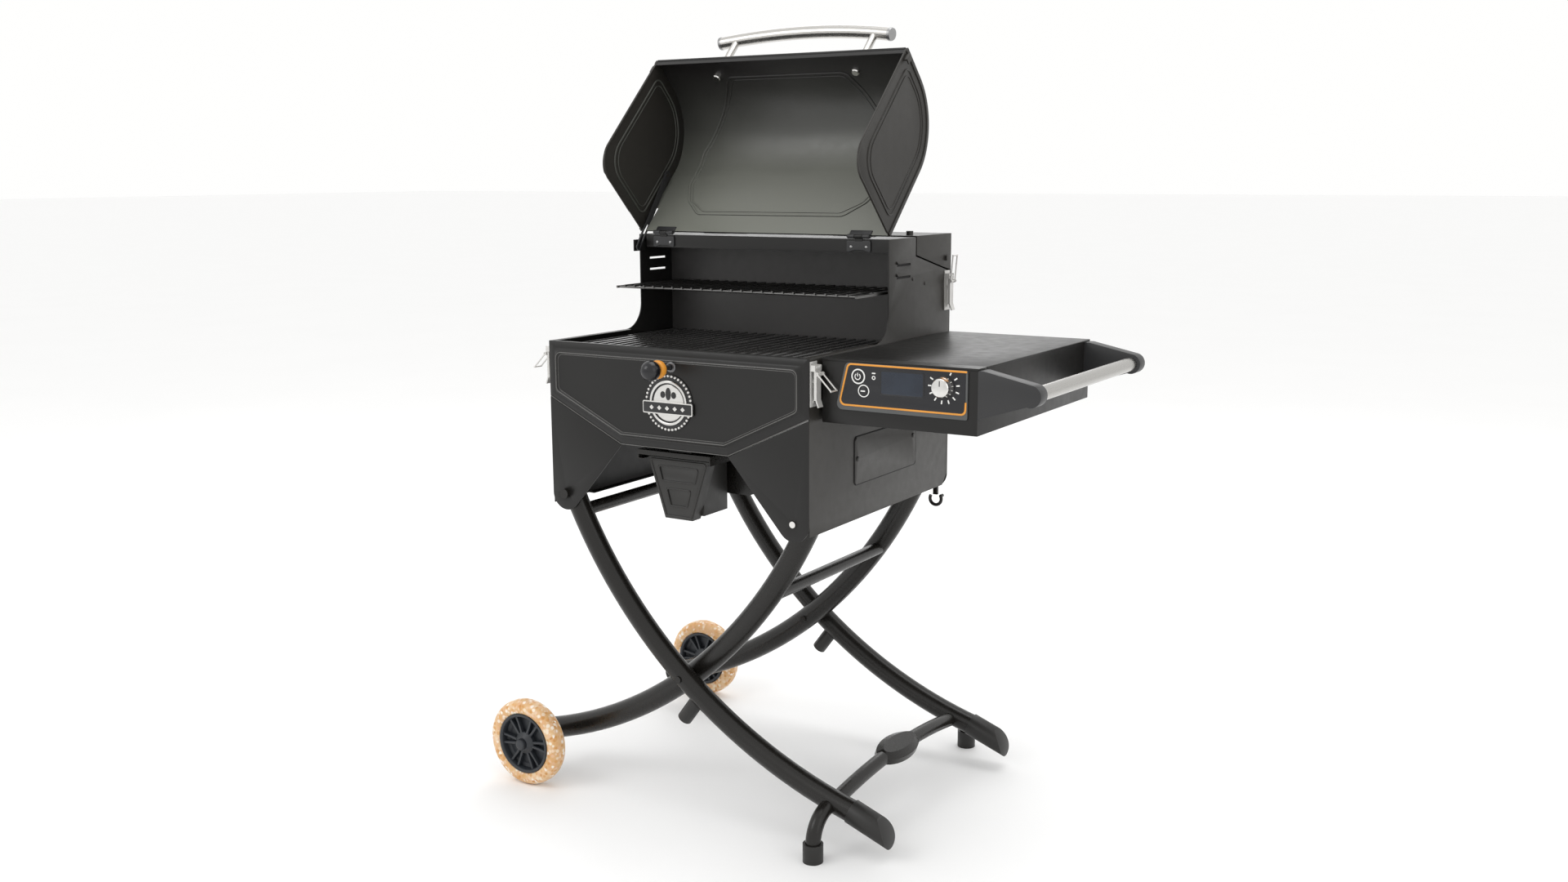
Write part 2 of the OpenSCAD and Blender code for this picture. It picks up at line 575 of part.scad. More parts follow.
// ---------------------------------------------------------------- stand
// arc of a leg in the XZ plane; angles from +X towards +Z
module leg_arc(x, y, a0, a1, d) translate([x, y, leg_cz]) rotate([90, 0, 0]) rotate([0, 0, a0]) rotate_extrude(angle = a1 - a0, $fn = 400) translate([leg_r, 0]) circle(d = d, $fn = 48);
fa0 = 180 + atan2(leg_cz - pivot_z, leg_cx - pivot_x + 2 * pivot_x) - 14 / leg_r * 57.2958;
fa1 = 180 + acos((leg_cx - 322) / leg_r);
wa1 = 360 - atan2(leg_cz - pivot_z, leg_cx + pivot_x) + 14 / leg_r * 57.2958;
wa0 = 360 - acos((leg_cx - 318) / leg_r);
module foot_leg(y) difference() {
  leg_arc(leg_cx, y, fa0, fa1, foot_leg_od);
  leg_arc(leg_cx, y, fa0 - 0.5, fa1 + 0.5, foot_leg_od - 2 * tube_t);
  cyly([-pivot_x, y - 30, pivot_z], 5.05, 60);
}
module foot_leg_front() color(c_black) home() { foot_leg(ya); cyly([0, ya - foot_leg_od / 2 - 3, 230], 6, 3.2); }
module foot_leg_rear() color(c_black) home() back() { foot_leg(ya); cyly([0, ya - foot_leg_od / 2 - 3, 230], 6, 3.2); }
module wheel_leg(y) difference() {
  leg_arc(-leg_cx, y, wa0, wa1, wheel_leg_od);
  leg_arc(-leg_cx, y, wa0 - 0.5, wa1 + 0.5, wheel_leg_od - 2 * tube_t);
  cyly([pivot_x, y - 30, pivot_z], 5.05, 60);
  cyly([-wheel_x, y - 30, wheel_r], 6, 60);
}
module wheel_leg_front() color(c_black) home() { wheel_leg(yb); cyly([0, yb + wheel_leg_od / 2 - 0.3, 230], 6, 3.2); }
module wheel_leg_rear() color(c_black) home() back() { wheel_leg(yb); cyly([0, yb + wheel_leg_od / 2 - 0.3, 230], 6, 3.2); }
module foot_leg_tie() color(c_black) home() difference() {
  cyly([-203, ya, 487], 11, body_d - 2 * ya);
  cyly([-203, ya - 5, 487], 11 - tube_t, body_d - 2 * ya + 10);
  both() leg_arc(leg_cx, ya, fa0, fa0 + 12, foot_leg_od);
}
module wheel_leg_bar() color(c_black) home() difference() {
  cyly([150, yb, 382], 11, body_d - 2 * yb);
  cyly([150, yb - 5, 382], 11 - tube_t, body_d - 2 * yb + 10);
  both() leg_arc(-leg_cx, yb, wa1 - 25, wa1, wheel_leg_od);
}
bow = 18;
bow_l = mid_y - ya;
bow_r = (bow_l * bow_l + bow * bow) / (2 * bow);
bow_a = asin(bow_l / bow_r);
module foot_bar_solid(d) {
  // bowed middle
  translate([foot_x, mid_y, bar_z + bow - bow_r]) rotate([90, 0, 90]) rotate([0, 0, 90 - bow_a]) rotate_extrude(angle = 2 * bow_a, $fn = 500) translate([bow_r, 0]) circle(d = d, $fn = 48);
  // quarter bends down to the floor caps
  both() translate([foot_x, cap_y + 46, bar_z - 46]) rotate([90, 0, 90]) rotate([0, 0, 80]) rotate_extrude(angle = 100, $fn = 120) translate([46, 0]) circle(d = d, $fn = 48);
}
module foot_bar() color(c_black) home() difference() {
  foot_bar_solid(24);
  both() leg_arc(leg_cx, ya, fa1 - 6, fa1 + 1, foot_leg_od);
}
// flattened step clamped around the middle of the bar
module foot_pad() color(c_black) home() difference() {
  translate([foot_x, mid_y, bar_z + bow]) rotate([0, 20, 0]) hull() {
    translate([0, 0, -5]) scale([0.42, 1, 1]) cylinder(r = 62, h = 10, $fn = 32);
    translate([0, 0, -13]) scale([0.3, 1, 1]) cylinder(r = 50, h = 26, $fn = 32);
  }
  translate([foot_x, mid_y, bar_z + bow - bow_r]) rotate([90, 0, 90]) rotate([0, 0, 86]) rotate_extrude(angle = 8, $fn = 500) translate([bow_r, 0]) circle(d = 24, $fn = 48);
}
sa = 180 + acos((leg_cx - 33) / leg_r);
module leg_end_caps() color(c_plastic) home() both() {
  // short feet that the folded stand rests on
  difference() {
    translate([leg_cx + (leg_r + 8) * cos(sa), ya, leg_cz + (leg_r + 8) * sin(sa)]) rotate([0, 90 - sa, 0]) cylinder(r = 12.5, h = 49);
    leg_arc(leg_cx, ya, sa - 3, sa + 3, foot_leg_od);
  }
  // floor caps
  difference() {
    translate([foot_x, cap_y, 0]) cylinder(r = cap_r, h = cap_h);
    translate([foot_x, cap_y, 26]) cylinder(r = 12.3, h = 20);
  }
  // angled shoe on the leg's end
  difference() {
    intersection() {
      translate([leg_cx + leg_r * cos(fa1 - 0.55), ya, leg_cz + leg_r * sin(fa1 - 0.55)]) rotate([0, 360 - fa1 + 6, 0]) cylinder(d = foot_leg_od + 3.6, h = 95);
      cyly([314, -10, 22], 68, 60);
    }
    leg_arc(leg_cx, ya, fa1 - 3, fa1, foot_leg_od);
  }
}
module axles() color(c_steel) home() both() {
  cyly([-wheel_x, -50, wheel_r], 6, 134);
  difference() {
    cyly([-wheel_x, -8, wheel_r], 10, yb - wheel_leg_od / 2 + 8 + 6);
    cyly([-wheel_x, -9, wheel_r], 5.5, 80);
    leg_arc(-leg_cx, yb, wa0 - 2, wa0 + 8, wheel_leg_od);
  }
  cyly([-wheel_x, -53, wheel_r], 9, 5);
}
module wheel_hub() translate([-wheel_x, wheel_y, wheel_r]) rotate([90, 0, 0]) difference() {
  union() {
    difference() { cylinder(r = 53, h = 32, center = true); cylinder(r = 47, h = 40, center = true); }
    cylinder(r = 48, h = 6, center = true);
    cylinder(r = 15, h = 34, center = true);
    for (i = [0:5]) rotate([0, 0, i * 60]) for (s = [-1, 1]) rotate([0, 0, s * 8]) translate([10, -2, -12]) cube([38, 4, 24]);
  }
  cylinder(r = 6.06, h = 60, center = true);
}
module wheel_tyre() translate([-wheel_x, wheel_y, wheel_r]) rotate([90, 0, 0]) rotate_extrude($fn = 96) {
  translate([53, -wheel_w / 2]) square([wheel_r - 9 - 53, wheel_w]);
  translate([wheel_r - 11, -wheel_w / 2 + 9]) square([11, wheel_w - 18]);
  for (s = [-1, 1]) translate([wheel_r - 9, s * (wheel_w / 2 - 9)]) circle(9);
}
module hub_front() color([0.2, 0.23, 0.27]) home() wheel_hub();
module hub_rear() color([0.2, 0.23, 0.27]) home() back() wheel_hub();
module tyre_front() color(c_orange) home() wheel_tyre();
module tyre_rear() color(c_orange) home() back() wheel_tyre();
module snap_button() {
  cyly([pivot_x, -3, pivot_z], 5.12, 5.4);
  cyly([pivot_x, 2.4, pivot_z], 8, 1);
}
module snap_button_front() color(c_chrome) home() snap_button();
module snap_button_rear() color(c_chrome) home() back() snap_button();

side_panel_left();
side_panel_right();
front_panel();
rear_panel();
firebox_floor();
chamber_wall();
tower_deck();
leg_brackets();
burn_pot();
burner_box();
auger_tube();
heat_baffle();
latch_bases();
shelf_box();
shelf_top();
control_panel();
shelf_handle();
handle_brackets();
access_cover();
power_inlet();
bucket_holder();
lid_shell();
lid_ends();
lid_handle();
lid_hinges();
lid_stay();
hopper_lid();
latch_lever_right();
latch_bail_right();
latch_lever_left();
latch_bail_left();
latch_lever_rear();
latch_bail_rear();
broiler_rod();
ball_knob();
grease_bucket();
dial_knob();
power_button();
prime_button();
warming_rack();
grate_left();
grate_right();
auger();
fan_impeller();
foot_leg_front();
foot_leg_rear();
foot_leg_tie();
foot_bar();
foot_pad();
leg_end_caps();
wheel_leg_front();
wheel_leg_rear();
wheel_leg_bar();
axles();
hub_front();
tyre_front();
hub_rear();
tyre_rear();
snap_button_front();
snap_button_rear();
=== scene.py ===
import bpy, bmesh, math, json
from mathutils import Vector, Matrix, noise


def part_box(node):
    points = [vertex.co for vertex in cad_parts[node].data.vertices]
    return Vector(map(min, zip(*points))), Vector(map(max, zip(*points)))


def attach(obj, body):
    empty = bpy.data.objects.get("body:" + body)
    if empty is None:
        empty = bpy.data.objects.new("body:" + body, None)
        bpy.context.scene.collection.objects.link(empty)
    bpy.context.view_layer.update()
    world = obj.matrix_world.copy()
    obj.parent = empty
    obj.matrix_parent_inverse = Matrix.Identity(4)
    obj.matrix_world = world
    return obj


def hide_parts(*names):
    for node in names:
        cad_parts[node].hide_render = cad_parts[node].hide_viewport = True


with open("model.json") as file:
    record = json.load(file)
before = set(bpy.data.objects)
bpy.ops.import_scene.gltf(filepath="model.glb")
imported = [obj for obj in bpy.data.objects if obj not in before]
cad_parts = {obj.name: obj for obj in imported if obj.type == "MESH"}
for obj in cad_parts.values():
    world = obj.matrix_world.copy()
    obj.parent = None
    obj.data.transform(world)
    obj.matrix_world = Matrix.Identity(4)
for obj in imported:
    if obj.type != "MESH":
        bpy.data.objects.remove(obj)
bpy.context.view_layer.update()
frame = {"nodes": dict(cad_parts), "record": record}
NODES = frame["nodes"]

# ------------------------------------------------------------------ helpers
lo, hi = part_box("rear_panel")
OX = -(lo.x + hi.x) / 2 * 1000          # body centre line
OY = 478 - hi.y * 1000                  # body's front face


def P(x, y, z):
    """millimetres in the body's frame to metres in the row frame"""
    return Vector(((x - OX) / 1000, (y - OY) / 1000, z / 1000))


HY, HZ = 250.0, 941.0
TH = math.radians(-135)


def L(x, y, z):
    """a point of the closed lid, in its open place"""
    a, b = y - HY, z - HZ
    return P(x, HY + a * math.cos(TH) - b * math.sin(TH), HZ + a * math.sin(TH) + b * math.cos(TH))


def link(o):
    bpy.context.scene.collection.objects.link(o)
    return o


def finish_mesh(o, mat, body, slot=None, bevel=0.0, segs=2, smooth=True, angle=35):
    o.data.materials.clear()
    if isinstance(mat, (list, tuple)):
        for m in mat:
            o.data.materials.append(m)
    else:
        o.data.materials.append(mat)
    if smooth:
        for p in o.data.polygons:
            p.use_smooth = True
    if bevel > 0:
        m = o.modifiers.new("bevel", "BEVEL")
        m.width = bevel / 1000
        m.segments = segs
        m.limit_method = "ANGLE"
        m.angle_limit = math.radians(30)
        m.harden_normals = False
    if smooth:
        split_normals(o, angle)
    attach(o, body)
    return o


def split_normals(o, angle=35):
    m = o.modifiers.new("edges", "EDGE_SPLIT")
    m.split_angle = math.radians(angle)
    m.use_edge_sharp = False


def mesh(name, verts, faces, mat, body, **k):
    me = bpy.data.meshes.new(name)
    me.from_pydata([tuple(v) for v in verts], [], faces)
    me.validate()
    bm = bmesh.new()
    bm.from_mesh(me)
    bmesh.ops.remove_doubles(bm, verts=bm.verts, dist=1e-6)
    bmesh.ops.recalc_face_normals(bm, faces=bm.faces)
    bm.to_mesh(me)
    bm.free()
    o = link(bpy.data.objects.new(name, me))
    return finish_mesh(o, mat, body, **k)


def box(name, a, b, mat, body, f=P, **k):
    vs = [f(x, y, z) for x in (a[0], b[0]) for y in (a[1], b[1]) for z in (a[2], b[2])]
    fs = [(0, 1, 3, 2), (4, 6, 7, 5), (0, 4, 5, 1), (2, 3, 7, 6), (0, 2, 6, 4), (1, 5, 7, 3)]
    return mesh(name, vs, fs, mat, body, **k)


def frames(pts, closed):
    n = len(pts)
    tans = []
    for i in range(n):
        if closed:
            t = pts[(i + 1) % n] - pts[(i - 1) % n]
        else:
            t = pts[min(i + 1, n - 1)] - pts[max(i - 1, 0)]
        tans.append(t.normalized())
    up = Vector((0, 0, 1))
    if abs(tans[0].dot(up)) > 0.9:
        up = Vector((1, 0, 0))
    u = (up - tans[0] * up.dot(tans[0])).normalized()
    out = []
    for t in tans:
        u = (u - t * u.dot(t)).normalized()
        out.append((t, u, t.cross(u)))
    return out


def tube_data(pts, r, n=20, closed=False, caps=True, prof=None):
    """rings along points in metres; r in mm, or a list of radii"""
    pts = [Vector(p) for p in pts]
    fr = frames(pts, closed)
    vs, fs = [], []
    for i, (p, (t, u, v)) in enumerate(zip(pts, fr)):
        rr = (r[i] if isinstance(r, (list, tuple)) else r) / 1000
        for k in range(n):
            a = 2 * math.pi * k / n
            vs.append(p + u * (rr * math.cos(a)) + v * (rr * math.sin(a)))
    m = len(pts)
    for i in range(m if closed else m - 1):
        for k in range(n):
            a, b = i * n + k, i * n + (k + 1) % n
            c, d = ((i + 1) % m) * n + (k + 1) % n, ((i + 1) % m) * n + k
            fs.append((a, b, c, d))
    if caps and not closed:
        fs.append(tuple(range(n - 1, -1, -1)))
        fs.append(tuple((m - 1) * n + k for k in range(n)))
    return vs, fs


def tube(name, pts, r, mat, body, n=20, closed=False, caps=True, **k):
    vs, fs = tube_data(pts, r, n, closed, caps)
    return mesh(name, vs, fs, mat, body, **k)


def join_data(parts):
    vs, fs = [], []
    for v, f in parts:
        b = len(vs)
        vs += v
        fs += [tuple(i + b for i in q) for q in f]
    return vs, fs


def lathe_data(prof, centre, axis, n=48, closed=True):
    """prof: list of (radius, along) in mm; axis 'x', 'y' or 'z'; centre in body mm"""
    vs, fs = [], []
    for k in range(n):
        a = 2 * math.pi * k / n
        c, s = math.cos(a), math.sin(a)
        for r, h in prof:
            if axis == "y":
                vs.append(P(centre[0] + r * c, centre[1] + h, centre[2] + r * s))
            elif axis == "x":
                vs.append(P(centre[0] + h, centre[1] + r * c, centre[2] + r * s))
            else:
                vs.append(P(centre[0] + r * c, centre[1] + r * s, centre[2] + h))
    m = len(prof)
    for k in range(n):
        for i in range(m if closed else m - 1):
            j = (i + 1) % m
            a, b = k * m + i, k * m + j
            c, d = ((k + 1) % n) * m + j, ((k + 1) % n) * m + i
            fs.append((a, b, c, d))
    return vs, fs


def lathe(name, prof, centre, axis, mat, body, n=48, **k):
    vs, fs = lathe_data(prof, centre, axis, n)
    return mesh(name, vs, fs, mat, body, **k)


def rrect(x0, z0, x1, z1, r, n=6):
    pts = []
    for cx, cz, a0 in ((x1 - r, z1 - r, 0), (x0 + r, z1 - r, 90), (x0 + r, z0 + r, 180), (x1 - r, z0 + r, 270)):
        for i in range(n + 1):
            a = math.radians(a0 + 90 * i / n)
            pts.append((cx + r * math.cos(a), cz + r * math.sin(a)))
    return pts


def disc(cx, cz, r, n=32):
    return [(cx + r * math.cos(2 * math.pi * i / n), cz + r * math.sin(2 * math.pi * i / n)) for i in range(n)]


def round_poly(pts, radii, n=5):
    """polygon with rounded corners"""
    out = []
    m = len(pts)
    for i in range(m):
        r = radii[i] if isinstance(radii, (list, tuple)) else radii
        p0, p1, p2 = Vector(pts[i - 1]), Vector(pts[i]), Vector(pts[(i + 1) % m])
        if r <= 0:
            out.append(tuple(p1))
            continue
        a, b = (p0 - p1).normalized(), (p2 - p1).normalized()
        ang = a.angle(b)
        d = min(r / math.tan(ang / 2), (p0 - p1).length * 0.49, (p2 - p1).length * 0.49)
        rr = d * math.tan(ang / 2)
        c = p1 + (a + b).normalized() * (rr / math.sin(ang / 2))
        s, e = p1 + a * d - c, p1 + b * d - c
        t0 = math.atan2(s.y, s.x)
        dt = math.atan2(e.y, e.x) - t0
        while dt > math.pi:
            dt -= 2 * math.pi
        while dt < -math.pi:
            dt += 2 * math.pi
        for k in range(n + 1):
            t = t0 + dt * k / n
            out.append((c.x + rr * math.cos(t), c.y + rr * math.sin(t)))
    return out


def plate(name, loops, t0, t1, mat, body, plane="xz", bevel=0.4, f=P, seg=2, **k):
    """flat plate with holes. plane xz: thickness along Y; yz: along X; xy: along Z"""
    cu = bpy.data.curves.new(name + "_c", "CURVE")
    cu.dimensions = "2D"
    cu.fill_mode = "BOTH"
    half = abs(t1 - t0) / 2
    cu.extrude = max(half - bevel, 0.001)
    cu.bevel_depth = bevel
    cu.bevel_resolution = seg
    cu.offset = -bevel
    for lp in loops:
        sp = cu.splines.new("POLY")
        sp.points.add(len(lp) - 1)
        for i, q in enumerate(lp):
            sp.points[i].co = (q[0], q[1], 0, 1)
        sp.use_cyclic_u = True
    ob = bpy.data.objects.new(name + "_t", cu)
    link(ob)
    dg = bpy.context.evaluated_depsgraph_get()
    me = bpy.data.meshes.new_from_object(ob.evaluated_get(dg))
    bpy.data.objects.remove(ob)
    mid = (t0 + t1) / 2
    bm = bmesh.new()
    bm.from_mesh(me)
    for v in bm.verts:
        x, y, z = v.co
        if plane == "xz":
            v.co = f(x, mid - z, y)
        elif plane == "yz":
            v.co = f(mid + z, x, y)
        else:
            v.co = f(x, y, mid + z)
    bmesh.ops.remove_doubles(bm, verts=bm.verts, dist=2e-6)
    bmesh.ops.recalc_face_normals(bm, faces=bm.faces)
    bm.to_mesh(me)
    bm.free()
    me.name = name
    o = link(bpy.data.objects.new(name, me))
    k.setdefault("angle", 40)
    return finish_mesh(o, mat, body, **k)


# ------------------------------------------------------------------ materials
def new_mat(name):
    m = bpy.data.materials.new(name)
    m.use_nodes = True
    nt = m.node_tree
    nt.nodes.clear()
    out = nt.nodes.new("ShaderNodeOutputMaterial")
    b = nt.nodes.new("ShaderNodeBsdfPrincipled")
    nt.links.new(b.outputs[0], out.inputs[0])
    return m, nt, b


def coords(nt, scale=(1, 1, 1)):
    tc = nt.nodes.new("ShaderNodeTexCoord")
    mp = nt.nodes.new("ShaderNodeMapping")
    mp.inputs["Scale"].default_value = scale
    nt.links.new(tc.outputs["Object"], mp.inputs[0])
    return mp.outputs[0]


def tex_noise(nt, vec, scale, detail=3, rough=0.5):
    t = nt.nodes.new("ShaderNodeTexNoise")
    t.inputs["Scale"].default_value = scale
    t.inputs["Detail"].default_value = detail
    t.inputs["Roughness"].default_value = rough
    nt.links.new(vec, t.inputs["Vector"])
    return t.outputs["Fac"]


def ramp(nt, fac, stops):
    r = nt.nodes.new("ShaderNodeValToRGB")
    els = r.color_ramp.elements
    while len(els) > 1:
        els.remove(els[-1])
    els[0].position, els[0].color = stops[0][0], (*stops[0][1], 1)
    for p, c in stops[1:]:
        e = els.new(p)
        e.color = (*c, 1)
    nt.links.new(fac, r.inputs[0])
    return r.outputs[0]


def maprange(nt, v, a, b, c, d):
    m = nt.nodes.new("ShaderNodeMapRange")
    m.inputs["From Min"].default_value = a
    m.inputs["From Max"].default_value = b
    m.inputs["To Min"].default_value = c
    m.inputs["To Max"].default_value = d
    nt.links.new(v, m.inputs["Value"])
    return m.outputs[0]


def bump(nt, b, height, strength, dist):
    n = nt.nodes.new("ShaderNodeBump")
    n.inputs["Strength"].default_value = strength
    n.inputs["Distance"].default_value = dist
    nt.links.new(height, n.inputs["Height"])
    nt.links.new(n.outputs[0], b.inputs["Normal"])
    return n


def powder(name, col, r0=0.34, r1=0.5, strength=0.25, grain=1400, spec=0.45):
    m, nt, b = new_mat(name)
    v = coords(nt)
    big = tex_noise(nt, v, 5, 4)
    fine = tex_noise(nt, v, grain, 2)
    lo_c = tuple(c * 0.88 for c in col)
    hi_c = tuple(min(1, c * 1.14) for c in col)
    c = ramp(nt, big, [(0.3, lo_c), (0.7, hi_c)])
    nt.links.new(c, b.inputs["Base Color"])
    mid = tex_noise(nt, v, 60, 3)
    nt.links.new(maprange(nt, mid, 0.3, 0.7, r0, r1), b.inputs["Roughness"])
    bump(nt, b, fine, strength, 0.0003)
    b.inputs["Specular IOR Level"].default_value = spec
    return m


def metal(name, col, r0, r1, stretch=(3, 3, 3), grain=120, strength=0.05, metallic=1.0):
    m, nt, b = new_mat(name)
    v = coords(nt, stretch)
    g = tex_noise(nt, v, grain, 4, 0.6)
    c = ramp(nt, g, [(0.3, tuple(x * 0.92 for x in col)), (0.7, col)])
    nt.links.new(c, b.inputs["Base Color"])
    nt.links.new(maprange(nt, g, 0.3, 0.7, r0, r1), b.inputs["Roughness"])
    b.inputs["Metallic"].default_value = metallic
    bump(nt, b, g, strength, 0.0002)
    return m


def plastic(name, col, r0=0.35, r1=0.45, strength=0.12, grain=900, coat=0.0):
    m, nt, b = new_mat(name)
    v = coords(nt)
    g = tex_noise(nt, v, grain, 2)
    s = tex_noise(nt, v, 14, 3)
    c = ramp(nt, s, [(0.3, tuple(x * 0.93 for x in col)), (0.7, tuple(min(1, x * 1.07) for x in col))])
    nt.links.new(c, b.inputs["Base Color"])
    nt.links.new(maprange(nt, s, 0.3, 0.7, r0, r1), b.inputs["Roughness"])
    b.inputs["Coat Weight"].default_value = coat
    b.inputs["Coat Roughness"].default_value = 0.08
    bump(nt, b, g, strength, 0.0002)
    return m


M = {}
M["body"] = powder("body_black", (0.0094, 0.0089, 0.0084), 0.32, 0.40, 0.3, spec=0.34)
# the panels' warm black, partly painted light: lighter than the body black to stand in for the light on the side-facing
# and top panels
M["side"] = powder("side_black", (0.0235, 0.0215, 0.0185), 0.38, 0.44, 0.3, spec=0.38)
M["inner"] = powder("inner_black", (0.058, 0.060, 0.052), 0.36, 0.42, 0.12)
M["cavity"] = powder("cavity_black", (0.048, 0.046, 0.045), 0.36, 0.44, 0.25)
M["leg"] = powder("leg_black", (0.0092, 0.0082, 0.0070), 0.24, 0.30, 0.2, spec=0.38)
M["iron"] = plastic("iron", (0.034, 0.033, 0.032), 0.2, 0.32, 0.35, 260, coat=0.6)
M["steel"] = metal("steel", (0.60, 0.585, 0.56), 0.2, 0.30, (2, 40, 40), 30)
M["steel_y"] = metal("steel_y", (0.60, 0.585, 0.56), 0.2, 0.30, (40, 2, 40), 30)
M["dull"] = metal("dull_steel", (0.36, 0.36, 0.36), 0.32, 0.46, (8, 8, 8), 60)
M["rod"] = metal("rod_steel", (0.16, 0.16, 0.165), 0.3, 0.42, (8, 8, 8), 60)
M["chrome"] = metal("chrome", (0.72, 0.71, 0.69), 0.12, 0.22, (4, 4, 4), 40, 0.03)
M["rack"] = metal("rack_wire", (0.14, 0.138, 0.135), 0.3, 0.42, (4, 4, 4), 60)
M["plastic"] = plastic("black_plastic", (0.018, 0.018, 0.019), 0.38, 0.48, 0.2)
M["rubber"] = plastic("black_rubber", (0.0095, 0.0088, 0.0078), 0.40, 0.5, 0.2)
# lighter black for painted highlight lines along creases and edges
M["edge"] = powder("edge_painted_highlight", (0.085, 0.083, 0.078), 0.25, 0.34, 0.15, spec=0.6)
M["gloss"] = plastic("gloss_black", (0.006, 0.006, 0.008), 0.2, 0.26, 0.02)
M["face"] = plastic("panel_face", (0.0045, 0.0045, 0.007), 0.34, 0.4, 0.02)
M["bezel"] = plastic("bezel_grey", (0.075, 0.078, 0.078), 0.36, 0.46, 0.15)
M["orange"] = plastic("orange_trim", (0.70, 0.285, 0.030), 0.3, 0.42, 0.08)
M["latch"] = metal("latch_zinc", (0.66, 0.65, 0.63), 0.26, 0.46, (30, 30, 30), 14, 0.08, 0.45)
M["bucket"] = powder("bucket_black", (0.020, 0.019, 0.0175), 0.34, 0.42, 0.3)
# darker copy of the handle steel: painted shade for the shelf handle
M["steel_s"] = metal("shelf_steel_painted_shade", (0.44, 0.43, 0.41), 0.2, 0.30, (40, 2, 40), 30)
M["white"] = plastic("white_mark", (0.80, 0.80, 0.78), 0.4, 0.5, 0.05)
M["hub"] = plastic("hub_slate", (0.019, 0.022, 0.027), 0.42, 0.52, 0.15)
M["badge"] = metal("badge_metal", (0.70, 0.69, 0.67), 0.26, 0.38, (3, 3, 30), 40)
M["badge_dark"] = plastic("badge_dark", (0.012, 0.012, 0.013), 0.36, 0.46, 0.05)
M["groove"] = plastic("shadow_gap", (0.004, 0.004, 0.004), 0.7, 0.8, 0.05)


def lcd_mat():
    m, nt, b = new_mat("display")
    v = coords(nt)
    g = tex_noise(nt, v, 40, 2)
    c = ramp(nt, g, [(0.3, (0.008, 0.013, 0.024)), (0.7, (0.012, 0.019, 0.033))])
    nt.links.new(c, b.inputs["Base Color"])
    b.inputs["Roughness"].default_value = 0.28
    nt.links.new(maprange(nt, g, 0.3, 0.7, 0.26, 0.3), b.inputs["Roughness"])
    return m


def tyre_mat():
    m, nt, b = new_mat("tyre_orange")
    v = coords(nt)
    # cells of pale and amber flecks in a clear amber base
    vo = nt.nodes.new("ShaderNodeTexVoronoi")
    vo.inputs["Scale"].default_value = 165
    vo.inputs["Randomness"].default_value = 1.0
    nt.links.new(v, vo.inputs["Vector"])
    sep = nt.nodes.new("ShaderNodeSeparateColor")
    nt.links.new(vo.outputs["Color"], sep.inputs[0])
    cell = ramp(nt, sep.outputs[0], [(0.0, (0.55, 0.24, 0.05)), (0.22, (0.66, 0.36, 0.13)), (0.45, (0.70, 0.42, 0.24)), (0.62, (0.74, 0.53, 0.36)), (0.8, (0.82, 0.70, 0.55)), (1.0, (0.92, 0.87, 0.83))])
    n = tex_noise(nt, v, 22, 4)
    base = ramp(nt, n, [(0.3, (0.60, 0.33, 0.12)), (0.55, (0.70, 0.45, 0.22)), (0.75, (0.80, 0.62, 0.42))])
    near = ramp(nt, vo.outputs["Distance"], [(0.0, (0.95, 0.95, 0.95)), (0.42, (0.9, 0.9, 0.9)), (0.62, (0.15, 0.15, 0.15))])
    mix = nt.nodes.new("ShaderNodeMix")
    mix.data_type = "RGBA"
    nt.links.new(near, mix.inputs["Factor"])
    nt.links.new(base, mix.inputs["A"])
    nt.links.new(cell, mix.inputs["B"])
    nt.links.new(mix.outputs["Result"], b.inputs["Base Color"])
    nt.links.new(maprange(nt, n, 0.3, 0.7, 0.3, 0.42), b.inputs["Roughness"])
    b.inputs["Subsurface Weight"].default_value = 0.25
    b.inputs["Subsurface Radius"].default_value = (0.008, 0.004, 0.002)
    b.inputs["Subsurface Scale"].default_value = 1.0
    bump(nt, b, n, 0.12, 0.0004)
    return m


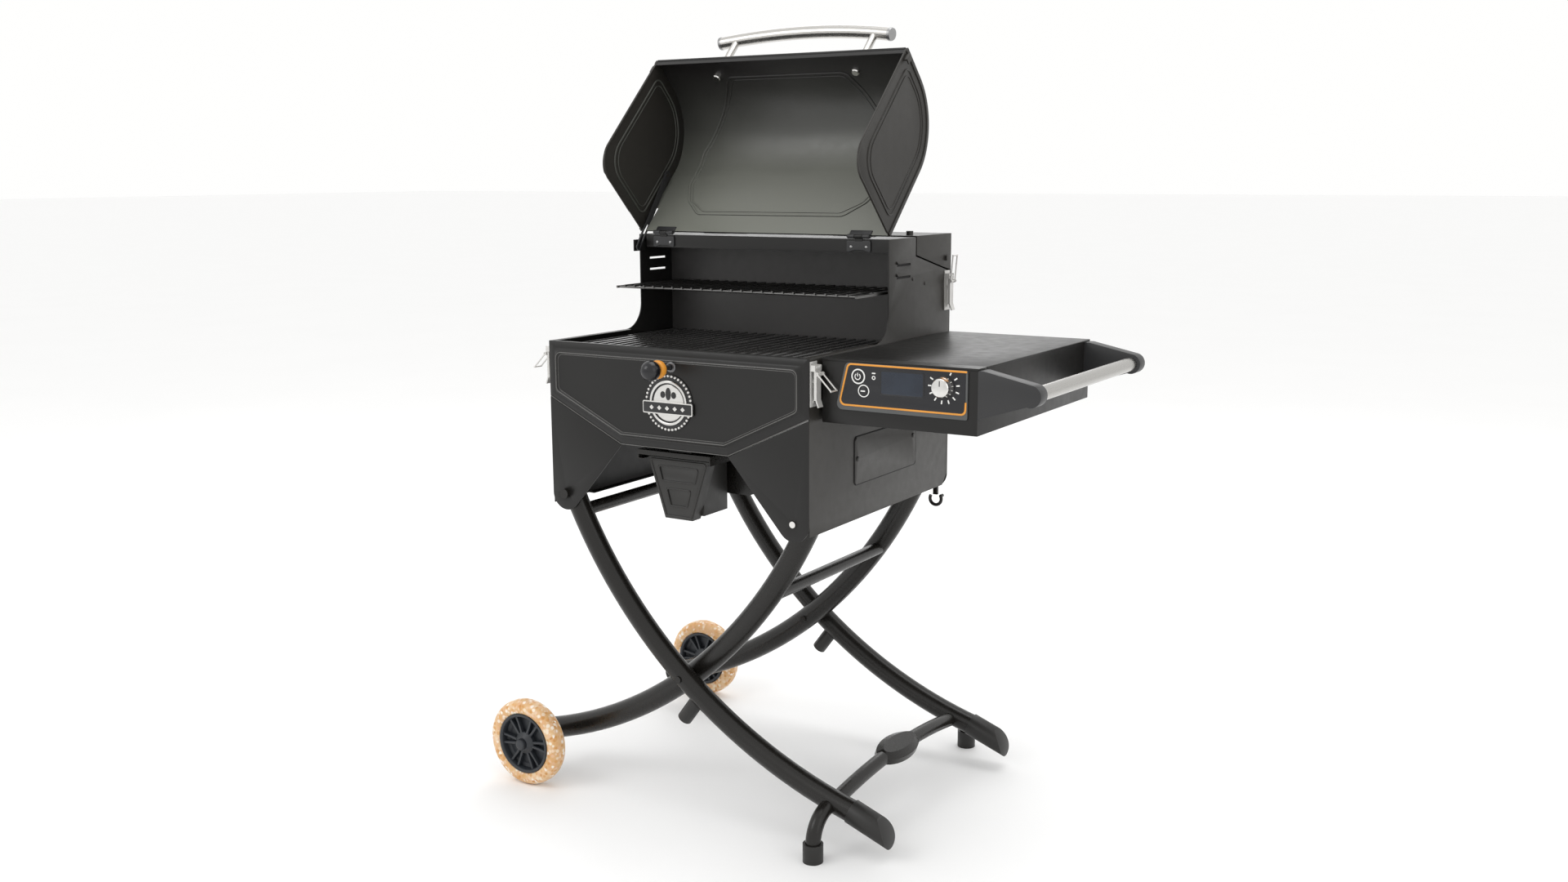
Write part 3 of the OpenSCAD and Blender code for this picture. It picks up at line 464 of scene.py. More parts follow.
def lid_painted_light_mat():
    """black outside; enamel inside painted lighter low down and near black at the top, a painted reflection and painted
    shade on the curved inside
    """
    m, nt, b = new_mat("lid_two_sides_painted_light")
    tc = nt.nodes.new("ShaderNodeTexCoord")
    sub = nt.nodes.new("ShaderNodeVectorMath")
    sub.operation = "SUBTRACT"
    nt.links.new(tc.outputs["Object"], sub.inputs[0])
    sub.inputs[1].default_value = L(0, 101, 840)
    flat = nt.nodes.new("ShaderNodeVectorMath")
    flat.operation = "MULTIPLY"
    nt.links.new(sub.outputs[0], flat.inputs[0])
    flat.inputs[1].default_value = (0, 1, 1)
    dot = nt.nodes.new("ShaderNodeVectorMath")
    dot.operation = "DOT_PRODUCT"
    nt.links.new(flat.outputs[0], dot.inputs[0])
    nt.links.new(tc.outputs["Normal"], dot.inputs[1])
    out = maprange(nt, dot.outputs["Value"], -0.01, 0.01, 0, 1)
    sep = nt.nodes.new("ShaderNodeSeparateXYZ")
    nt.links.new(tc.outputs["Object"], sep.inputs[0])
    n = tex_noise(nt, tc.outputs["Object"], 4, 3)
    add = nt.nodes.new("ShaderNodeMath")
    add.operation = "MULTIPLY_ADD"
    nt.links.new(n, add.inputs[0])
    add.inputs[1].default_value = 0.06
    nt.links.new(sep.outputs[2], add.inputs[2])
    zz = maprange(nt, add.outputs[0], 0.97, 1.25, 0, 1)
    # painted light: the inside runs from pale low down to near black at the top
    ins = ramp(nt, zz, [(0.0, (0.160, 0.165, 0.142)), (0.35, (0.150, 0.154, 0.134)), (0.62, (0.058, 0.059, 0.053)), (1.0, (0.010, 0.009, 0.009))])
    mix = nt.nodes.new("ShaderNodeMix")
    mix.data_type = "RGBA"
    nt.links.new(out, mix.inputs["Factor"])
    nt.links.new(ins, mix.inputs["A"])
    mix.inputs["B"].default_value = (0.0108, 0.0104, 0.0100, 1)
    nt.links.new(mix.outputs["Result"], b.inputs["Base Color"])
    nt.links.new(maprange(nt, tex_noise(nt, tc.outputs["Object"], 60, 3), 0.3, 0.7, 0.34, 0.42), b.inputs["Roughness"])
    bump(nt, b, tex_noise(nt, tc.outputs["Object"], 1400, 2), 0.15, 0.0003)
    return m


def side_painted_light_mat():
    """warm black on faces turned to the side, painted lighter for the light they catch; deeper black, painted shade,
    where the plate is bent to the front or rear
    """
    m, nt, b = new_mat("side_painted_light_tone")
    tc = nt.nodes.new("ShaderNodeTexCoord")
    sep = nt.nodes.new("ShaderNodeSeparateXYZ")
    nt.links.new(tc.outputs["Normal"], sep.inputs[0])
    ab = nt.nodes.new("ShaderNodeMath")
    ab.operation = "ABSOLUTE"
    nt.links.new(sep.outputs[1], ab.inputs[0])
    k = maprange(nt, ab.outputs[0], 0.5, 0.8, 0, 1)
    n = tex_noise(nt, tc.outputs["Object"], 5, 4)
    warm = ramp(nt, n, [(0.3, (0.0205, 0.0186, 0.016)), (0.7, (0.027, 0.0248, 0.0215))])
    mix = nt.nodes.new("ShaderNodeMix")
    mix.data_type = "RGBA"
    nt.links.new(k, mix.inputs["Factor"])
    nt.links.new(warm, mix.inputs["A"])
    mix.inputs["B"].default_value = (0.0085, 0.0080, 0.0075, 1)
    nt.links.new(mix.outputs["Result"], b.inputs["Base Color"])
    nt.links.new(maprange(nt, tex_noise(nt, tc.outputs["Object"], 60, 3), 0.3, 0.7, 0.36, 0.43), b.inputs["Roughness"])
    bump(nt, b, tex_noise(nt, tc.outputs["Object"], 1400, 2), 0.3, 0.0003)
    b.inputs["Specular IOR Level"].default_value = 0.36
    return m


M["side_lit"] = side_painted_light_mat()
M["lcd"] = lcd_mat()
M["lid"] = lid_painted_light_mat()
M["tyre"] = tyre_mat()

# ------------------------------------------------------------------ CAD nodes keep their shape
# the right side panel takes the painted side light, the left one plain body black
use = {
    "side_panel_left": "body", "side_panel_right": "side_lit", "front_panel": "body", "rear_panel": "body",
    "firebox_floor": "cavity", "chamber_wall": "cavity", "tower_deck": "body", "leg_brackets": "leg",
    "burn_pot": "dull", "burner_box": "leg", "auger_tube": "dull", "heat_baffle": "cavity", "latch_bases": "latch",
    "shelf_box": "body", "shelf_top": "body", "shelf_handle": "steel_s", "handle_brackets": "plastic",
    "access_cover": "side", "power_inlet": "plastic", "bucket_holder": "leg", "lid_shell": "lid", "lid_ends": "side",
    "lid_handle": "steel", "lid_hinges": "plastic", "lid_stay": "plastic", "hopper_lid": "side",
    "latch_lever_right": "latch", "latch_bail_right": "latch", "latch_lever_left": "latch",
    "latch_bail_left": "latch", "latch_lever_rear": "latch", "latch_bail_rear": "latch",
    "broiler_rod": "rod", "ball_knob": "plastic", "grease_bucket": "bucket", "dial_knob": "chrome",
    "power_button": "gloss", "prime_button": "gloss", "warming_rack": "rack", "grate_left": "iron",
    "grate_right": "iron", "auger": "dull", "fan_impeller": "plastic", "foot_leg_front": "leg",
    "foot_leg_rear": "leg", "foot_leg_tie": "leg", "foot_bar": "leg", "foot_pad": "leg", "leg_end_caps": "rubber",
    "wheel_leg_front": "leg", "wheel_leg_rear": "leg", "wheel_leg_bar": "leg", "axles": "dull",
    "snap_button_front": "chrome", "snap_button_rear": "chrome", "control_panel": "gloss",
    "hub_front": "hub", "hub_rear": "hub", "tyre_front": "tyre", "tyre_rear": "tyre",
}
fine = {"latch_lever_right": 0.3, "latch_lever_left": 0.3, "latch_lever_rear": 0.3, "latch_bases": 0.25,
        "shelf_top": 1.0, "shelf_box": 1.0, "handle_brackets": 2.0, "front_panel": 0.6, "grease_bucket": 1.2,
        "bucket_holder": 0.6, "hopper_lid": 0.7, "access_cover": 0.5, "lid_ends": 0.6, "side_panel_left": 0.5,
        "side_panel_right": 0.5, "power_inlet": 0.8, "tower_deck": 0.4, "ball_knob": 0.0, "grate_left": 1.6,
        "grate_right": 1.6, "burner_box": 0.8, "lid_hinges": 0.3, "leg_end_caps": 1.2, "lid_shell": 0.4, "lid_stay": 0.4}
for n, o in NODES.items():
    o.data.materials.clear()
    o.data.materials.append(M[use[n]])
    for p in o.data.polygons:
        p.use_smooth = True
    w = o.modifiers.new("weld", "WELD")
    w.merge_threshold = 2e-5
    if fine.get(n, 0) > 0:
        b = o.modifiers.new("bevel", "BEVEL")
        b.width = fine[n] / 1000
        b.segments = 2
        b.limit_method = "ANGLE"
        b.angle_limit = math.radians(40)
        b.harden_normals = False
    split_normals(o, 32)

# ------------------------------------------------------------------ wheels
def wheel(body, side):
    lo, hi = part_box("tyre_" + side)
    X = (lo.x + hi.x) * 500 + OX
    y = (lo.y + hi.y) * 500 + OY
    Z = (lo.z + hi.z) * 500
    R = (hi.z - lo.z) * 500
    W = (hi.y - lo.y) * 500
    prof = []
    k = (R - 53) / 22.0
    for r, h in ((0, 0.84), (2, 0.92), (7, 0.985), (11, 1.0), (15.5, 0.93), (19, 0.76), (21, 0.54), (21.7, 0.36), (22, 0.15)):
        prof.append((53 + r * k, -h * W))
    prof += [(r, -h) for r, h in reversed(prof)]
    t = lathe("tyre_" + side + "_tread", prof, (X, y, Z), "y", M["tyre"], body, n=96, slot="orange_tyre", angle=60)
    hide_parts("tyre_" + side)
    # rim, web and boss of the hub
    rim = [(47.4, -14.0), (48.6, -15.4), (52.6, -15.4), (53, 0), (52.6, 15.4), (48.6, 15.4), (47.4, 14.0), (46.6, 12), (46.4, 3), (40, 2.4), (40, -2.4), (46.4, -3), (46.6, -12)]
    boss = [(6.1, -17), (11.5, -17), (13, -15.6), (16.5, -12.6), (19.5, -10.5), (20, 0), (19.5, 10.5), (16.5, 12.6), (13, 15.6), (11.5, 17), (6.1, 17)]
    web = [(16, -2.2), (42, -2.2), (42, 2.2), (16, 2.2)]
    parts = [lathe_data(rim, (X, y, Z), "y", 96), lathe_data(boss, (X, y, Z), "y", 48), lathe_data(web, (X, y, Z), "y", 64)]
    for i in range(6):
        for s in (-1, 1):
            a0 = 2 * math.pi * i / 6
            vs, fs = [], []
            stations = ((13, s * 2.6, 2.4, 11.5), (24, s * 4.4, 2.2, 11.0), (36, s * 6.2, 2.0, 10.8), (44, s * 7.4, 2.1, 11.2), (48.5, s * 8.2, 2.6, 12.0))
            for rr, off, wd, dp in stations:
                c, sn = math.cos(a0), math.sin(a0)
                for lat, yy in ((off - wd, -dp), (off + wd, -dp), (off + wd, dp), (off - wd, dp)):
                    vs.append(P(X + rr * c - lat * sn, y + yy, Z + rr * sn + lat * c))
            ns = len(stations)
            for q in range(ns - 1):
                b = q * 4
                for e in range(4):
                    fs.append((b + e, b + (e + 1) % 4, b + 4 + (e + 1) % 4, b + 4 + e))
            fs += [(3, 2, 1, 0), tuple((ns - 1) * 4 + e for e in range(4))]
            parts.append((vs, fs))
    vs, fs = join_data(parts)
    me = bpy.data.meshes.new("hub_" + side + "_spokes")
    me.from_pydata([tuple(v) for v in vs], [], fs)
    bm = bmesh.new()
    bm.from_mesh(me)
    bmesh.ops.recalc_face_normals(bm, faces=bm.faces)
    bm.to_mesh(me)
    bm.free()
    h = link(bpy.data.objects.new("hub_" + side + "_spokes", me))
    finish_mesh(h, M["hub"], body, slot="hub_plastic", bevel=0.7, segs=2, angle=35)
    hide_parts("hub_" + side)
    # pressed cap over the axle's end
    s = -1 if side == "front" else 1
    lo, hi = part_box("axles")
    end = (lo.y if s < 0 else hi.y) * 1000 + OY
    lathe("axle_cap_" + side, [(0, s * 0.8), (5, s * 0.75), (8, s * 0.4), (9.6, -s * 0.6), (10, -s * 2.0), (10, -s * 4.6), (9.2, -s * 4.6), (9.2, 0.0), (0, 0.0)],
          (X, end, Z), "y", M["hub"], "wheel_frame", n=40, slot="hub_plastic")


wheel("wheel_front", "front")
wheel("wheel_rear", "rear")

# ------------------------------------------------------------------ lid
def lid_profile(o, n=14):
    """closed lid's side outline from the rim up and back, inset by o"""
    r = 105 - o
    pts = [(-4 + o, 774), (-4 + o, 800), (-4 + o, 825)]
    for i in range(n + 1):
        a = math.radians(180 - 90 * i / n)
        pts.append((101 + r * math.cos(a), 840 + r * math.sin(a)))
    pts += [(150, 945 - o), (200, 945 - o), (245, 945 - o)]
    return pts


def prof_at(s, o):
    """point at arc length s up the lid's profile, inset by o, and the outward normal"""
    if s < 66:
        return (-4 + o, 774 + s), (-1, 0)
    s -= 66
    arc = 105 * math.pi / 2
    if s < arc:
        a = math.pi - s / 105
        return (101 + (105 - o) * math.cos(a), 840 + (105 - o) * math.sin(a)), (math.cos(a), math.sin(a))
    s -= arc
    return (101 + s, 945 - o), (0, 1)


def lid_bead(name, poly, r, rad, mat, o=2.2):
    dense = resample(round_poly(poly, r, 6), 6)
    path = []
    for x, s in dense:
        (yy, zz), nn = prof_at(s, o)
        path.append(L(x, yy, zz))
    return tube(name, path, rad, mat, "lid", n=10, closed=True, slot="body_black")


def resample(pts, step):
    out = []
    m = len(pts)
    for i in range(m):
        a, b = pts[i], pts[(i + 1) % m]
        d = math.hypot(b[0] - a[0], b[1] - a[1])
        k = max(1, int(d / step))
        for j in range(k):
            out.append((a[0] + (b[0] - a[0]) * j / k, a[1] + (b[1] - a[1]) * j / k))
    return out


def press_poly(d):
    return [(-118 + d, 43 + d), (118 - d, 43 + d), (152 - d, 110), (197 - d, 190), (197 - d, 262), (178 - d, 304), (146 - d, 334 - d),
            (-146 + d, 334 - d), (-178 + d, 304), (-197 + d, 262), (-197 + d, 190), (-152 + d, 110)]


lid_bead("lid_pressing_outer", press_poly(0), 18, 1.9, M["lid"])
lid_bead("lid_pressing_inner", press_poly(7), 16, 1.1, M["lid"])


def end_outline(o):
    pts = [(-4 + o, 774 + o)]
    r = 105 - o
    for i in range(13):
        a = math.radians(180 - 90 * i / 12)
        pts.append((101 + r * math.cos(a), 840 + r * math.sin(a)))
    pts.append((245 - o, 945 - o))
    for i in range(9):
        a = math.radians(-90 * i / 8)
        pts.append((203 - o + 42 * math.cos(a), 816 + o + 42 * math.sin(a)))
    return pts


for sgn, nm in ((1, "right"), (-1, "left")):
    for o, rad, tag in ((20, 1.5, "a"), (27, 1.0, "b")):
        for xx, sd in ((248.2, "out"), (245.6, "in")):
            pts = round_poly(end_outline(o), [14 if i in (0, 14) else 0 for i in range(len(end_outline(o)))], 6)
            path = [L(sgn * xx, a, b) for a, b in resample(pts, 8)]
            tube("lid_end_bead_%s_%s_%s" % (nm, tag, sd), path, rad, M["side" if sd == "out" else "inner"], "lid", n=8, closed=True, slot="side_black")
    # rolled hem along the lid end's lower edges
    path = [L(sgn * 246.6, a, 774.6) for a in range(0, 204, 12)] + [L(sgn * 246.6, 203 + 42 * math.sin(math.radians(t)), 816 - 41.4 * math.cos(math.radians(t))) for t in range(5, 91, 8)] + [L(sgn * 246.6, 244.4, z) for z in range(824, 940 if sgn > 0 else 900, 14)]
    tube("lid_hem_" + nm, path, 1.9, M["side"], "lid", n=10, slot="side_black")
tube("lid_hem_front", [L(x, -2.4, 774.8) for x in range(-245, 246, 35)], 2.6, M["body"], "lid", n=12, slot="body_black")

# handle end caps
def bar_pt(x):
    hs = 17.0
    hr = (172.0 ** 2 + hs * hs) / (2 * hs)
    return L(x, -4 - 103 + hr - math.sqrt(hr * hr - x * x), 816)


for s, nm in ((-1, "left"), (1, "right")):
    pts = [bar_pt(s * v) for v in (168.5, 171.5)]
    d = (pts[1] - pts[0]).normalized()
    path = [pts[0], pts[0] + d * 0.0035, pts[0] + d * 0.0055, pts[0] + d * 0.0062]
    tube("handle_cap_" + nm, path, [11.3, 11.3, 10.4, 8.2], M["dull"], "lid", n=32, slot="steel")
    # screw washers inside the lid
    c = L(s * 139, -2, 816)
    dn = (L(s * 139, 0, 816) - c).normalized()
    tube("handle_screw_" + nm, [c, c + dn * 0.0035, c + dn * 0.0048], [7.6, 7.4, 5.6], M["chrome"], "lid", n=24, slot="chrome")
    # collars where the posts meet the lid
    c = L(s * 139, -4, 816)
    dn = (L(s * 139, -10, 816) - c).normalized()
    tube("handle_collar_" + nm, [c, c + dn * 0.005, c + dn * 0.008], [10, 9.6, 7], M["steel"], "lid", n=24, slot="steel")

# ------------------------------------------------------------------ front of the firebox
hexa = [(-250, 772), (250, 772), (250, 680), (104, 611), (-104, 611), (-250, 680)]


def inset(pts, d):
    out = []
    m = len(pts)
    c = Vector((0, 700))
    for i in range(m):
        a, b, e = Vector(pts[i - 1]), Vector(pts[i]), Vector(pts[(i + 1) % m])
        n1 = (b - a).normalized()
        n2 = (e - b).normalized()
        p1 = Vector((-n1.y, n1.x))
        p2 = Vector((-n2.y, n2.x))
        if (c - b).dot(p1) < 0:
            p1 = -p1
        if (c - b).dot(p2) < 0:
            p2 = -p2
        k = p1 + p2
        k = k / (1 + p1.dot(p2))
        out.append(tuple(b + k * d))
    return out


def stepped_panel(name, loops, mat, body):
    """rings of [polygon, y]; the last ring is filled"""
    vs, fs = [], []
    for pts, y in loops:
        for x, z in pts:
            vs.append(P(x, y, z))
    m = len(loops[0][0])
    for i in range(len(loops) - 1):
        for k in range(m):
            fs.append((i * m + k, i * m + (k + 1) % m, (i + 1) * m + (k + 1) % m, (i + 1) * m + k))
    fs.append(tuple((len(loops) - 1) * m + k for k in range(m)))
    fs.append(tuple(range(m)))
    return mesh(name, vs, fs, mat, body, slot="body_black", angle=50)


h0 = [(-249.4, 771.4), (249.4, 771.4), (249.4, 680.4), (103.9, 611.6), (-103.9, 611.6), (-249.4, 680.4)]
loops = []
for d, y in ((0.6, 1.9), (0.0, 0.6), (0.8, -0.2), (10, -0.3), (12.4, -0.8), (15.0, -4.6), (16.2, -5.5), (17.6, -5.6), (18.8, -4.6), (20.2, -3.3), (22.0, -3.1), (26, -3.1)):
    rr = round_poly(inset(h0, d), [2 + (8 if d > 10 else 0)] * 6, 5)
    loops.append((rr, y))
front = stepped_panel("front_pressing", loops, M["body"], "grill")

# painted highlight: lighter lines along the pressing's creases and the panel's lower edges
for nm, d, y, r in (("crease_outer", 17.2, -5.35, 0.75), ("crease_inner", 20.4, -3.15, 0.45)):
    loop = resample(round_poly(inset(h0, d), 10, 5), 8)
    tube("front_" + nm, [P(x, y, z) for x, z in loop], r, M["edge"], "grill", n=8, closed=True, slot="body_black")
tube("front_edge_low", [P(x, -0.15, z) for x, z in ((-249.2, 680.4), (-177, 646.2), (-104.2, 611.9), (-52, 611.9), (0, 611.9), (52, 611.9), (104.2, 611.9), (177, 646.2), (249.2, 680.4))], 0.7, M["edge"], "grill", n=8, slot="body_black")
# plain round badge: beaded rim, pale field, blank bar
BX, BZ = -4, 687
BK = 1.17


def bl(pr):
    return [(r * BK, h) for r, h in pr]


lathe("badge_plate", bl([(0.0, -5.2), (38.0, -5.2), (38.6, -4.6), (38.6, -3.0), (0.0, -3.0)]), (BX, 0, BZ), "y", M["badge_dark"], "grill", n=96, slot="black_plastic", angle=25)
lathe("badge_ring", bl([(27.2, -7.0), (28.0, -7.5), (29.6, -7.5), (30.4, -7.0), (30.4, -5.0), (27.2, -5.0)]), (BX, 0, BZ), "y", M["badge"], "grill", n=96, slot="steel", angle=25)
lathe("badge_field", bl([(0.0, -6.0), (24.4, -6.0), (25.0, -5.5), (25.0, -5.0), (0.0, -5.0)]), (BX, 0, BZ), "y", M["badge"], "grill", n=64, slot="steel")
beads = []
for i in range(40):
    a = 2 * math.pi * i / 40
    cx, cz = BX + 36.6 * BK * math.cos(a), BZ + 36.6 * BK * math.sin(a)
    beads.append(lathe_data([(0, -7.4), (1.3, -7.1), (2.2, -6.2), (2.4, -4.8), (0, -4.8)], (cx, 0, cz), "y", 12))
bv, bf = join_data(beads)
mesh("badge_beads", bv, bf, M["badge"], "grill", slot="steel", angle=60)
plate("badge_bar_edge", [rrect(BX - 48, BZ - 18, BX + 48, BZ + 2, 2.5)], -9.2, -5.6, M["badge"], "grill", bevel=0.4, slot="steel")
plate("badge_bar", [rrect(BX - 46.2, BZ - 16.2, BX + 46.2, BZ + 0.2, 1.6)], -9.7, -9.0, M["badge_dark"], "grill", bevel=0.2, slot="black_plastic")
for i in range(5):
    w = 4.2
    cx = BX - 30 + 15 * i
    plate("badge_lozenge_%d" % i, [[(cx - w, BZ - 8), (cx, BZ - 4.2), (cx + w, BZ - 8), (cx, BZ - 11.8)]], -10.1, -9.6, M["badge"], "grill", bevel=0.12, slot="steel")
for i, (dx, hgt) in enumerate(((-10.5, 9), (0, 15), (10.5, 9))):
    pts = []
    for t in range(0, 361, 24):
        a = math.radians(t)
        r = 5.4 * (1 - 0.35 * math.cos(a)) if hgt < 12 else 6.0 * (1 - 0.35 * math.cos(a))
        pts.append((BX + dx + r * math.sin(a) * 0.8, BZ + 11 - r * math.cos(a) * hgt / 9))
    plate("badge_flame_%d" % i, [pts[:-1]], -6.6, -5.9, M["badge_dark"], "grill", bevel=0.15, slot="black_plastic")

# broiler rod: escutcheon and orange collar
lathe("rod_escutcheon", [(4.6, -3.0), (8.8, -3.0), (9.2, -3.8), (8.2, -5.0), (6.6, -5.6), (4.9, -5.6)], (0, 0, 744), "y", M["rod"], "grill", n=48, slot="steel")
lathe("rod_collar", [(4.1, -44.5), (11.6, -44.5), (13.6, -43.4), (14.4, -41.0), (14.6, -37.5), (14.0, -33.5), (12.4, -31.0), (9.5, -29.6), (6.5, -29.2), (4.1, -29.4)], (0, 0, 744), "y", M["orange"], "broiler", n=56, slot="orange_tyre")
kn = lathe("ball_knob_round", [(0.0, -15.9)] + [(15.9 * math.sin(math.radians(t)), -15.9 * math.cos(math.radians(t))) for t in range(6, 148, 6)] + [(8.2, 14.0), (0.0, 14.0)],
      (0, -56.1, 744), "y", M["gloss"], "broiler", n=56, slot="black_plastic", angle=60)
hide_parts("ball_knob")

# ------------------------------------------------------------------ control panel
lo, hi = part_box("dial_knob")
DX, DZ = (lo.x + hi.x) * 500 + OX, (lo.z + hi.z) * 500
DY = lo.y * 1000 + OY
holes = [disc(321, 748, 9.0), disc(330, 727, 7.6), disc(DX, DZ, 3.4)]


def slant(x0b, x0t, x1, z0, z1, r):
    return round_poly([(x0b, z0), (x1, z0), (x1, z1), (x0t, z1)], r, 6)


bz = plate("control_bezel", [slant(281.5, 298.5, 496.5, 696.4, 767.4, [9, 3, 3, 8])] + holes, 24.2, 27.0, M["bezel"], "grill", bevel=0.7, slot="gloss_plastic")
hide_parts("control_panel")
plate("control_face", [slant(290, 304.5, 493.5, 704.5, 765.2, [7, 5, 3, 6])] + holes, 23.5, 24.6, M["face"], "grill", bevel=0.25, slot="gloss_plastic")
# the orange line is open at its right end
outer = round_poly([(495.6, 722), (494.8, 702.8), (286.5, 702.8), (302.4, 766.9), (495.6, 766.9)], [0, 8, 9, 8, 0], 7)
inner = round_poly([(492.9, 722), (492.1, 705.6), (290.0, 705.6), (304.6, 764.2), (495.6, 764.2)], [0, 6, 7, 6, 0], 7)
plate("control_border", [outer + inner[::-1]], 23.1, 24.4, M["orange"], "grill", bevel=0.45, slot="orange_tyre")
plate("display_frame", [rrect(356.5, 722.5, 429.0, 760.2, 3.5), rrect(359.2, 725.0, 426.4, 757.8, 2)], 23.1, 23.7, M["gloss"], "grill", bevel=0.25, slot="gloss_plastic")
plate("display_glass", [rrect(358.8, 724.6, 426.8, 758.2, 2)], 23.2, 23.6, M["lcd"], "grill", bevel=0.1, slot="gloss_plastic")
plate("power_ring", [disc(321, 748, 11.4, 40), disc(321, 748, 9.3, 40)], 22.4, 23.6, M["white"], "grill", bevel=0.35, slot="chrome")
plate("prime_ring", [disc(330, 727, 9.4, 40), disc(330, 727, 7.8, 40)], 22.7, 23.6, M["white"], "grill", bevel=0.25, slot="gloss_plastic")
for nm, body, cx, cz, r in (("power_cap", "power_button", 321, 748, 8.3), ("prime_cap", "prime_button", 330, 727, 6.9)):
    lathe(nm, [(0, -1.5), (r * 0.82, -1.3), (r * 0.95, -0.7), (r, 0), (0, 0)], (cx, 22.7, cz), "y", M["face"], body, n=40, slot="gloss_plastic")
# open ring and bar on the power button, plain bar on the other
path = [P(321 + 4.4 * math.sin(math.radians(a)), 21.2, 748 + 4.4 * math.cos(math.radians(a))) for a in range(35, 326, 10)]
tube("power_mark_ring", path, 0.75, M["white"], "power_button", n=8, slot="gloss_plastic")
tube("power_mark_bar", [P(321, 21.2, 748.2), P(321, 21.2, 753.4)], 0.75, M["white"], "power_button", n=8, slot="gloss_plastic")
tube("prime_mark", [P(326.4, 21.3, 727), P(333.6, 21.3, 727)], 1.1, M["white"], "prime_button", n=8, slot="gloss_plastic")
plate("icon_ring", [disc(346.5, 747.5, 3.0, 20), disc(346.5, 747.5, 1.7, 20)], 23.1, 23.6, M["white"], "grill", bevel=0.1, slot="gloss_plastic")
plate("icon_bar", [rrect(343.6, 753.2, 349.4, 755.0, 0.6)], 23.1, 23.6, M["white"], "grill", bevel=0.1, slot="gloss_plastic")
# dial scale
for i, deg in enumerate((62, 34, 8, -18, -44, -70, -98, -126, -154, 178, 150)):
    a = math.radians(deg)
    c, sn = math.cos(a), math.sin(a)
    r0, r1 = 19.6, 25.0
    w = 1.0
    if DZ + r1 * sn > 763:
        r1 = (763 - DZ) / sn
    pts = [(DX + r0 * c - w * sn, DZ + r0 * sn + w * c), (DX + r1 * c - w * sn, DZ + r1 * sn + w * c), (DX + r1 * c + w * sn, DZ + r1 * sn - w * c), (DX + r0 * c + w * sn, DZ + r0 * sn - w * c)]
    plate("dial_tick_%d" % i, [pts], 23.1, 23.6, M["white"], "grill", bevel=0.1, slot="gloss_plastic")
DK = (hi.x - lo.x) * 500 / 14.0
kd = lathe("dial_body", [(r * DK, h) for r, h in ((0, 0.2), (9.4, 0.2), (10.6, 0.6), (11.4, 1.8), (11.8, 5.5), (12.4, 7.2), (13.4, 12.0), (13.9, 14.6), (13.4, 15.3), (0, 15.3))], (DX, DY, DZ), "y", M["chrome"], "dial", n=64, slot="chrome", angle=25)
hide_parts("dial_knob")
box("dial_pointer", (DX - 0.8, DY + 0.05, DZ + 2.4), (DX + 0.8, DY + 0.6, DZ + 10.4), M["badge_dark"], "dial", bevel=0.2, slot="black_plastic")

# ------------------------------------------------------------------ fasteners and small trim
def dome(name, p, axis, r, h, mat, body, slot, sign=1):
    prof = [(0, sign * h), (r * 0.45, sign * h * 0.92), (r * 0.8, sign * h * 0.62), (r, sign * h * 0.12), (r, -sign * 0.3), (0, -sign * 0.3)]
    return lathe(name, prof, p, axis, mat, body, n=20, slot=slot)


BUCKET = [b for b, ns in frame["record"]["behaviour"]["bodies"].items() if "grease_bucket" in ns][0]
k = 0
# right rivets take the lighter side black and left ones the body black: painted light and painted shade of one paint
for y, z in ((336, 869), (381, 859)):
    dome("rivet_right_%d" % k, (250, y, z), "x", 3.4, 1.6, M["side"], "grill", "side_black")
    dome("rivet_left_%d" % k, (-250, y, z), "x", 3.4, 1.6, M["body"], "grill", "body_black", -1)
    k += 1
# pressed ridges round the bucket's two panels
for nm, tp in (("lower", ((-19, 516), (13, 516), (21, 544), (-27, 544))), ("upper", ((-35, 556), (29, 556), (36, 580), (-42, 580))), ("edge", ((-27.5, 499), (21.5, 499), (51.5, 590), (-57.5, 590)))):
    loop = resample(round_poly(tp, 3.5, 5), 4)
    tube("bucket_ridge_" + nm, [P(x, 16.2, z) for x, z in loop], 1.5 if nm != "edge" else 1.9, M["bucket"], BUCKET, n=10, closed=True, slot="side_black")
# painted shadow: a near-black tube in the gap round the access cover; and the cover's screws
lo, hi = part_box("access_cover")
a0, a1, b0, b1 = lo.y * 1000 + OY, hi.y * 1000 + OY, lo.z * 1000, hi.z * 1000
loop = resample(round_poly([(a0 - 0.6, b0 - 0.6), (a1 + 0.6, b0 - 0.6), (a1 + 0.6, b1 + 0.6), (a0 - 0.6, b1 + 0.6)], 7, 6), 6)
tube("cover_gap", [P(250.35, y, z) for y, z in loop], 1.15, M["groove"], "grill", n=8, closed=True, slot="black_rubber")
for j, (y, z) in enumerate(((148, 597), (340, 606))):
    dome("cover_screw_%d" % j, (251.6, y, z), "x", 4.4, 2.0, M["plastic"], "grill", "black_plastic")

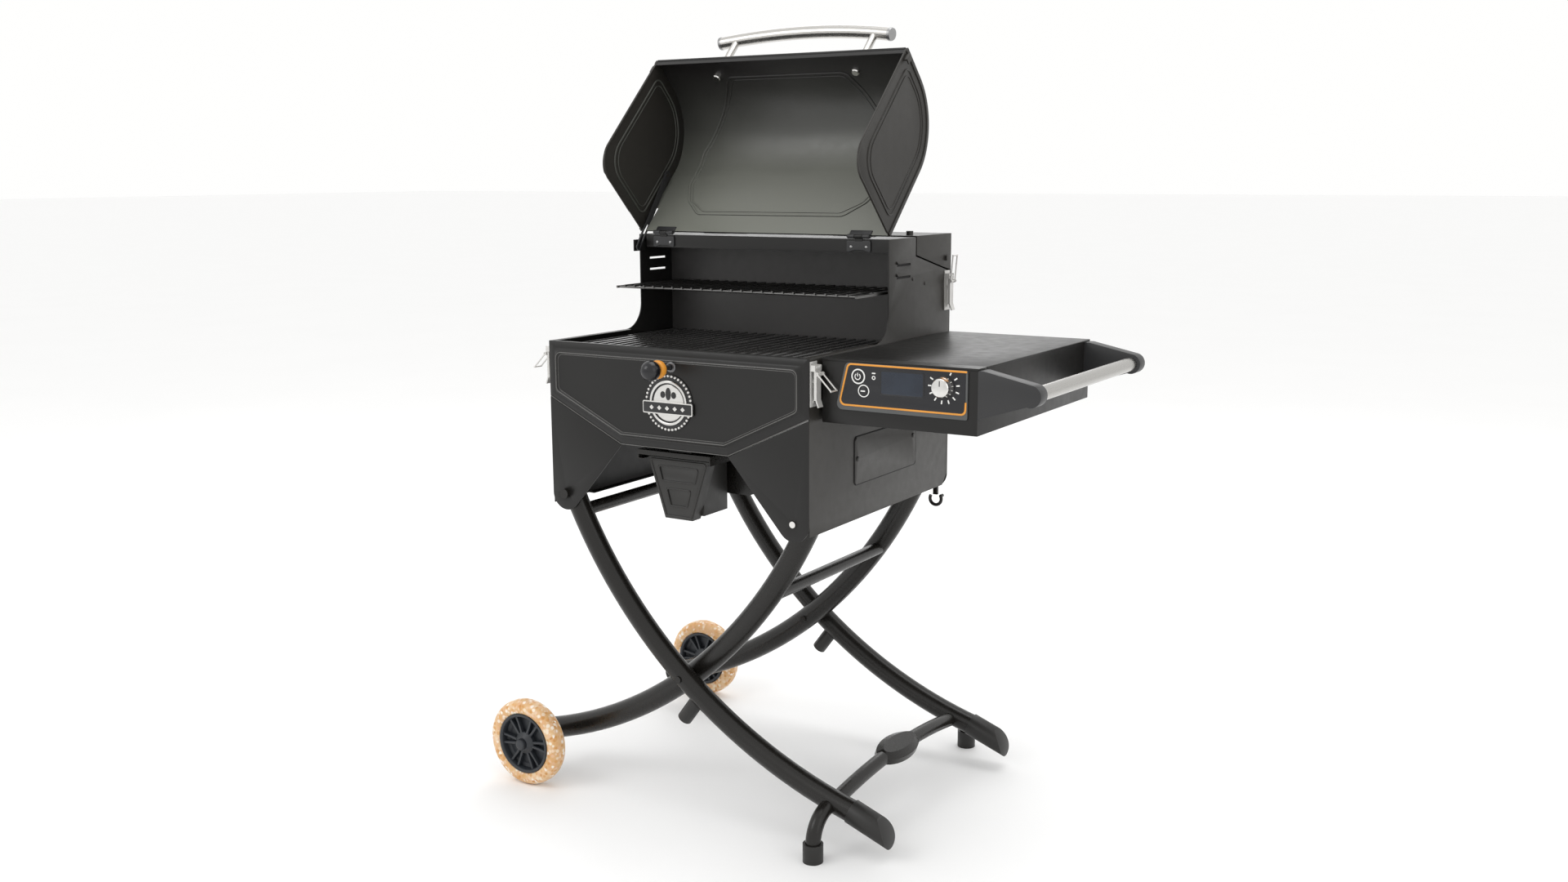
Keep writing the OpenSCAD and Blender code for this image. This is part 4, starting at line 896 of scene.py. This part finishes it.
# hinge covers on the tower
lo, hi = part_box("lid_hinges")
HX = (hi.x - lo.x) * 500 - 20
for s in (-1, 1):
    hx = s * HX
    wing = round_poly([(hx - 22, 915), (hx - 8, 919), (hx + 8, 919), (hx + 22, 915), (hx + 22, 934), (hx - 22, 934)], 2.5, 4)
    plate("hinge_wing_%d" % (s + 1), [wing], 249.2, 250.9, M["plastic"], "grill", bevel=0.4, slot="black_plastic")
    for j, xx in enumerate((-14, 14)):
        dome("hinge_rivet_%d_%d" % (s + 1, j), (hx + xx, 249.2, 924), "y", 2.6, 1.4, M["dull"], "grill", "chrome", -1)

# ------------------------------------------------------------------ camera, floor, light
cam_data = bpy.data.cameras.new("camera")
cam = link(bpy.data.objects.new("camera", cam_data))
cam_data.sensor_width = 36
cam_data.lens = 34.571
cam.location = P(1385.8, -1900.7, 1046.6)
cam.rotation_euler = (math.radians(90 - 10.187), math.radians(0.246), math.radians(31.779))
bpy.context.scene.camera = cam

fl = bpy.data.meshes.new("floor")
fl.from_pydata([(-60, -60, 0), (60, -60, 0), (60, 60, 0), (-60, 60, 0)], [], [(0, 1, 2, 3)])
floor = link(bpy.data.objects.new("floor", fl))
fm, nt, b = new_mat("floor_pale")
v = coords(nt)
c = ramp(nt, tex_noise(nt, v, 2.0, 2), [(0.3, (0.945, 0.945, 0.945)), (0.7, (0.955, 0.955, 0.955))])
nt.links.new(c, b.inputs["Base Color"])
b.inputs["Roughness"].default_value = 0.75
floor.data.materials.append(fm)

w = bpy.data.worlds.new("world")
bpy.context.scene.world = w
w.use_nodes = True
bg = w.node_tree.nodes["Background"]
bg.inputs[0].default_value = (1.0, 0.998, 0.99, 1)
bg.inputs[1].default_value = 1.0


def area(name, loc, target, size, size_y, power, col=(1, 1, 1)):
    l = bpy.data.lights.new(name, "AREA")
    l.shape = "RECTANGLE"
    l.size, l.size_y = size, size_y
    l.energy = power
    l.color = col
    o = link(bpy.data.objects.new(name, l))
    o.location = loc
    o.rotation_euler = (Vector(target) - Vector(loc)).to_track_quat("-Z", "Y").to_euler()
    return o


area("key", (-1.6, -2.8, 2.9), (0, 0, 0.6), 1.8, 1.8, 26)
area("fill", (3.0, -0.9, 1.7), (0, 0, 0.7), 1.4, 2.2, 6)
area("top", (0.2, 0.6, 3.6), (0, 0, 0.6), 2.4, 1.8, 26)
area("back", (-1.5, 3.0, 2.4), (0, 0, 0.8), 2.0, 1.6, 12)
bpy.context.scene.view_settings.view_transform = "Standard"
bpy.context.scene.view_settings.look = "None"
bpy.context.scene.view_settings.exposure = 0.0
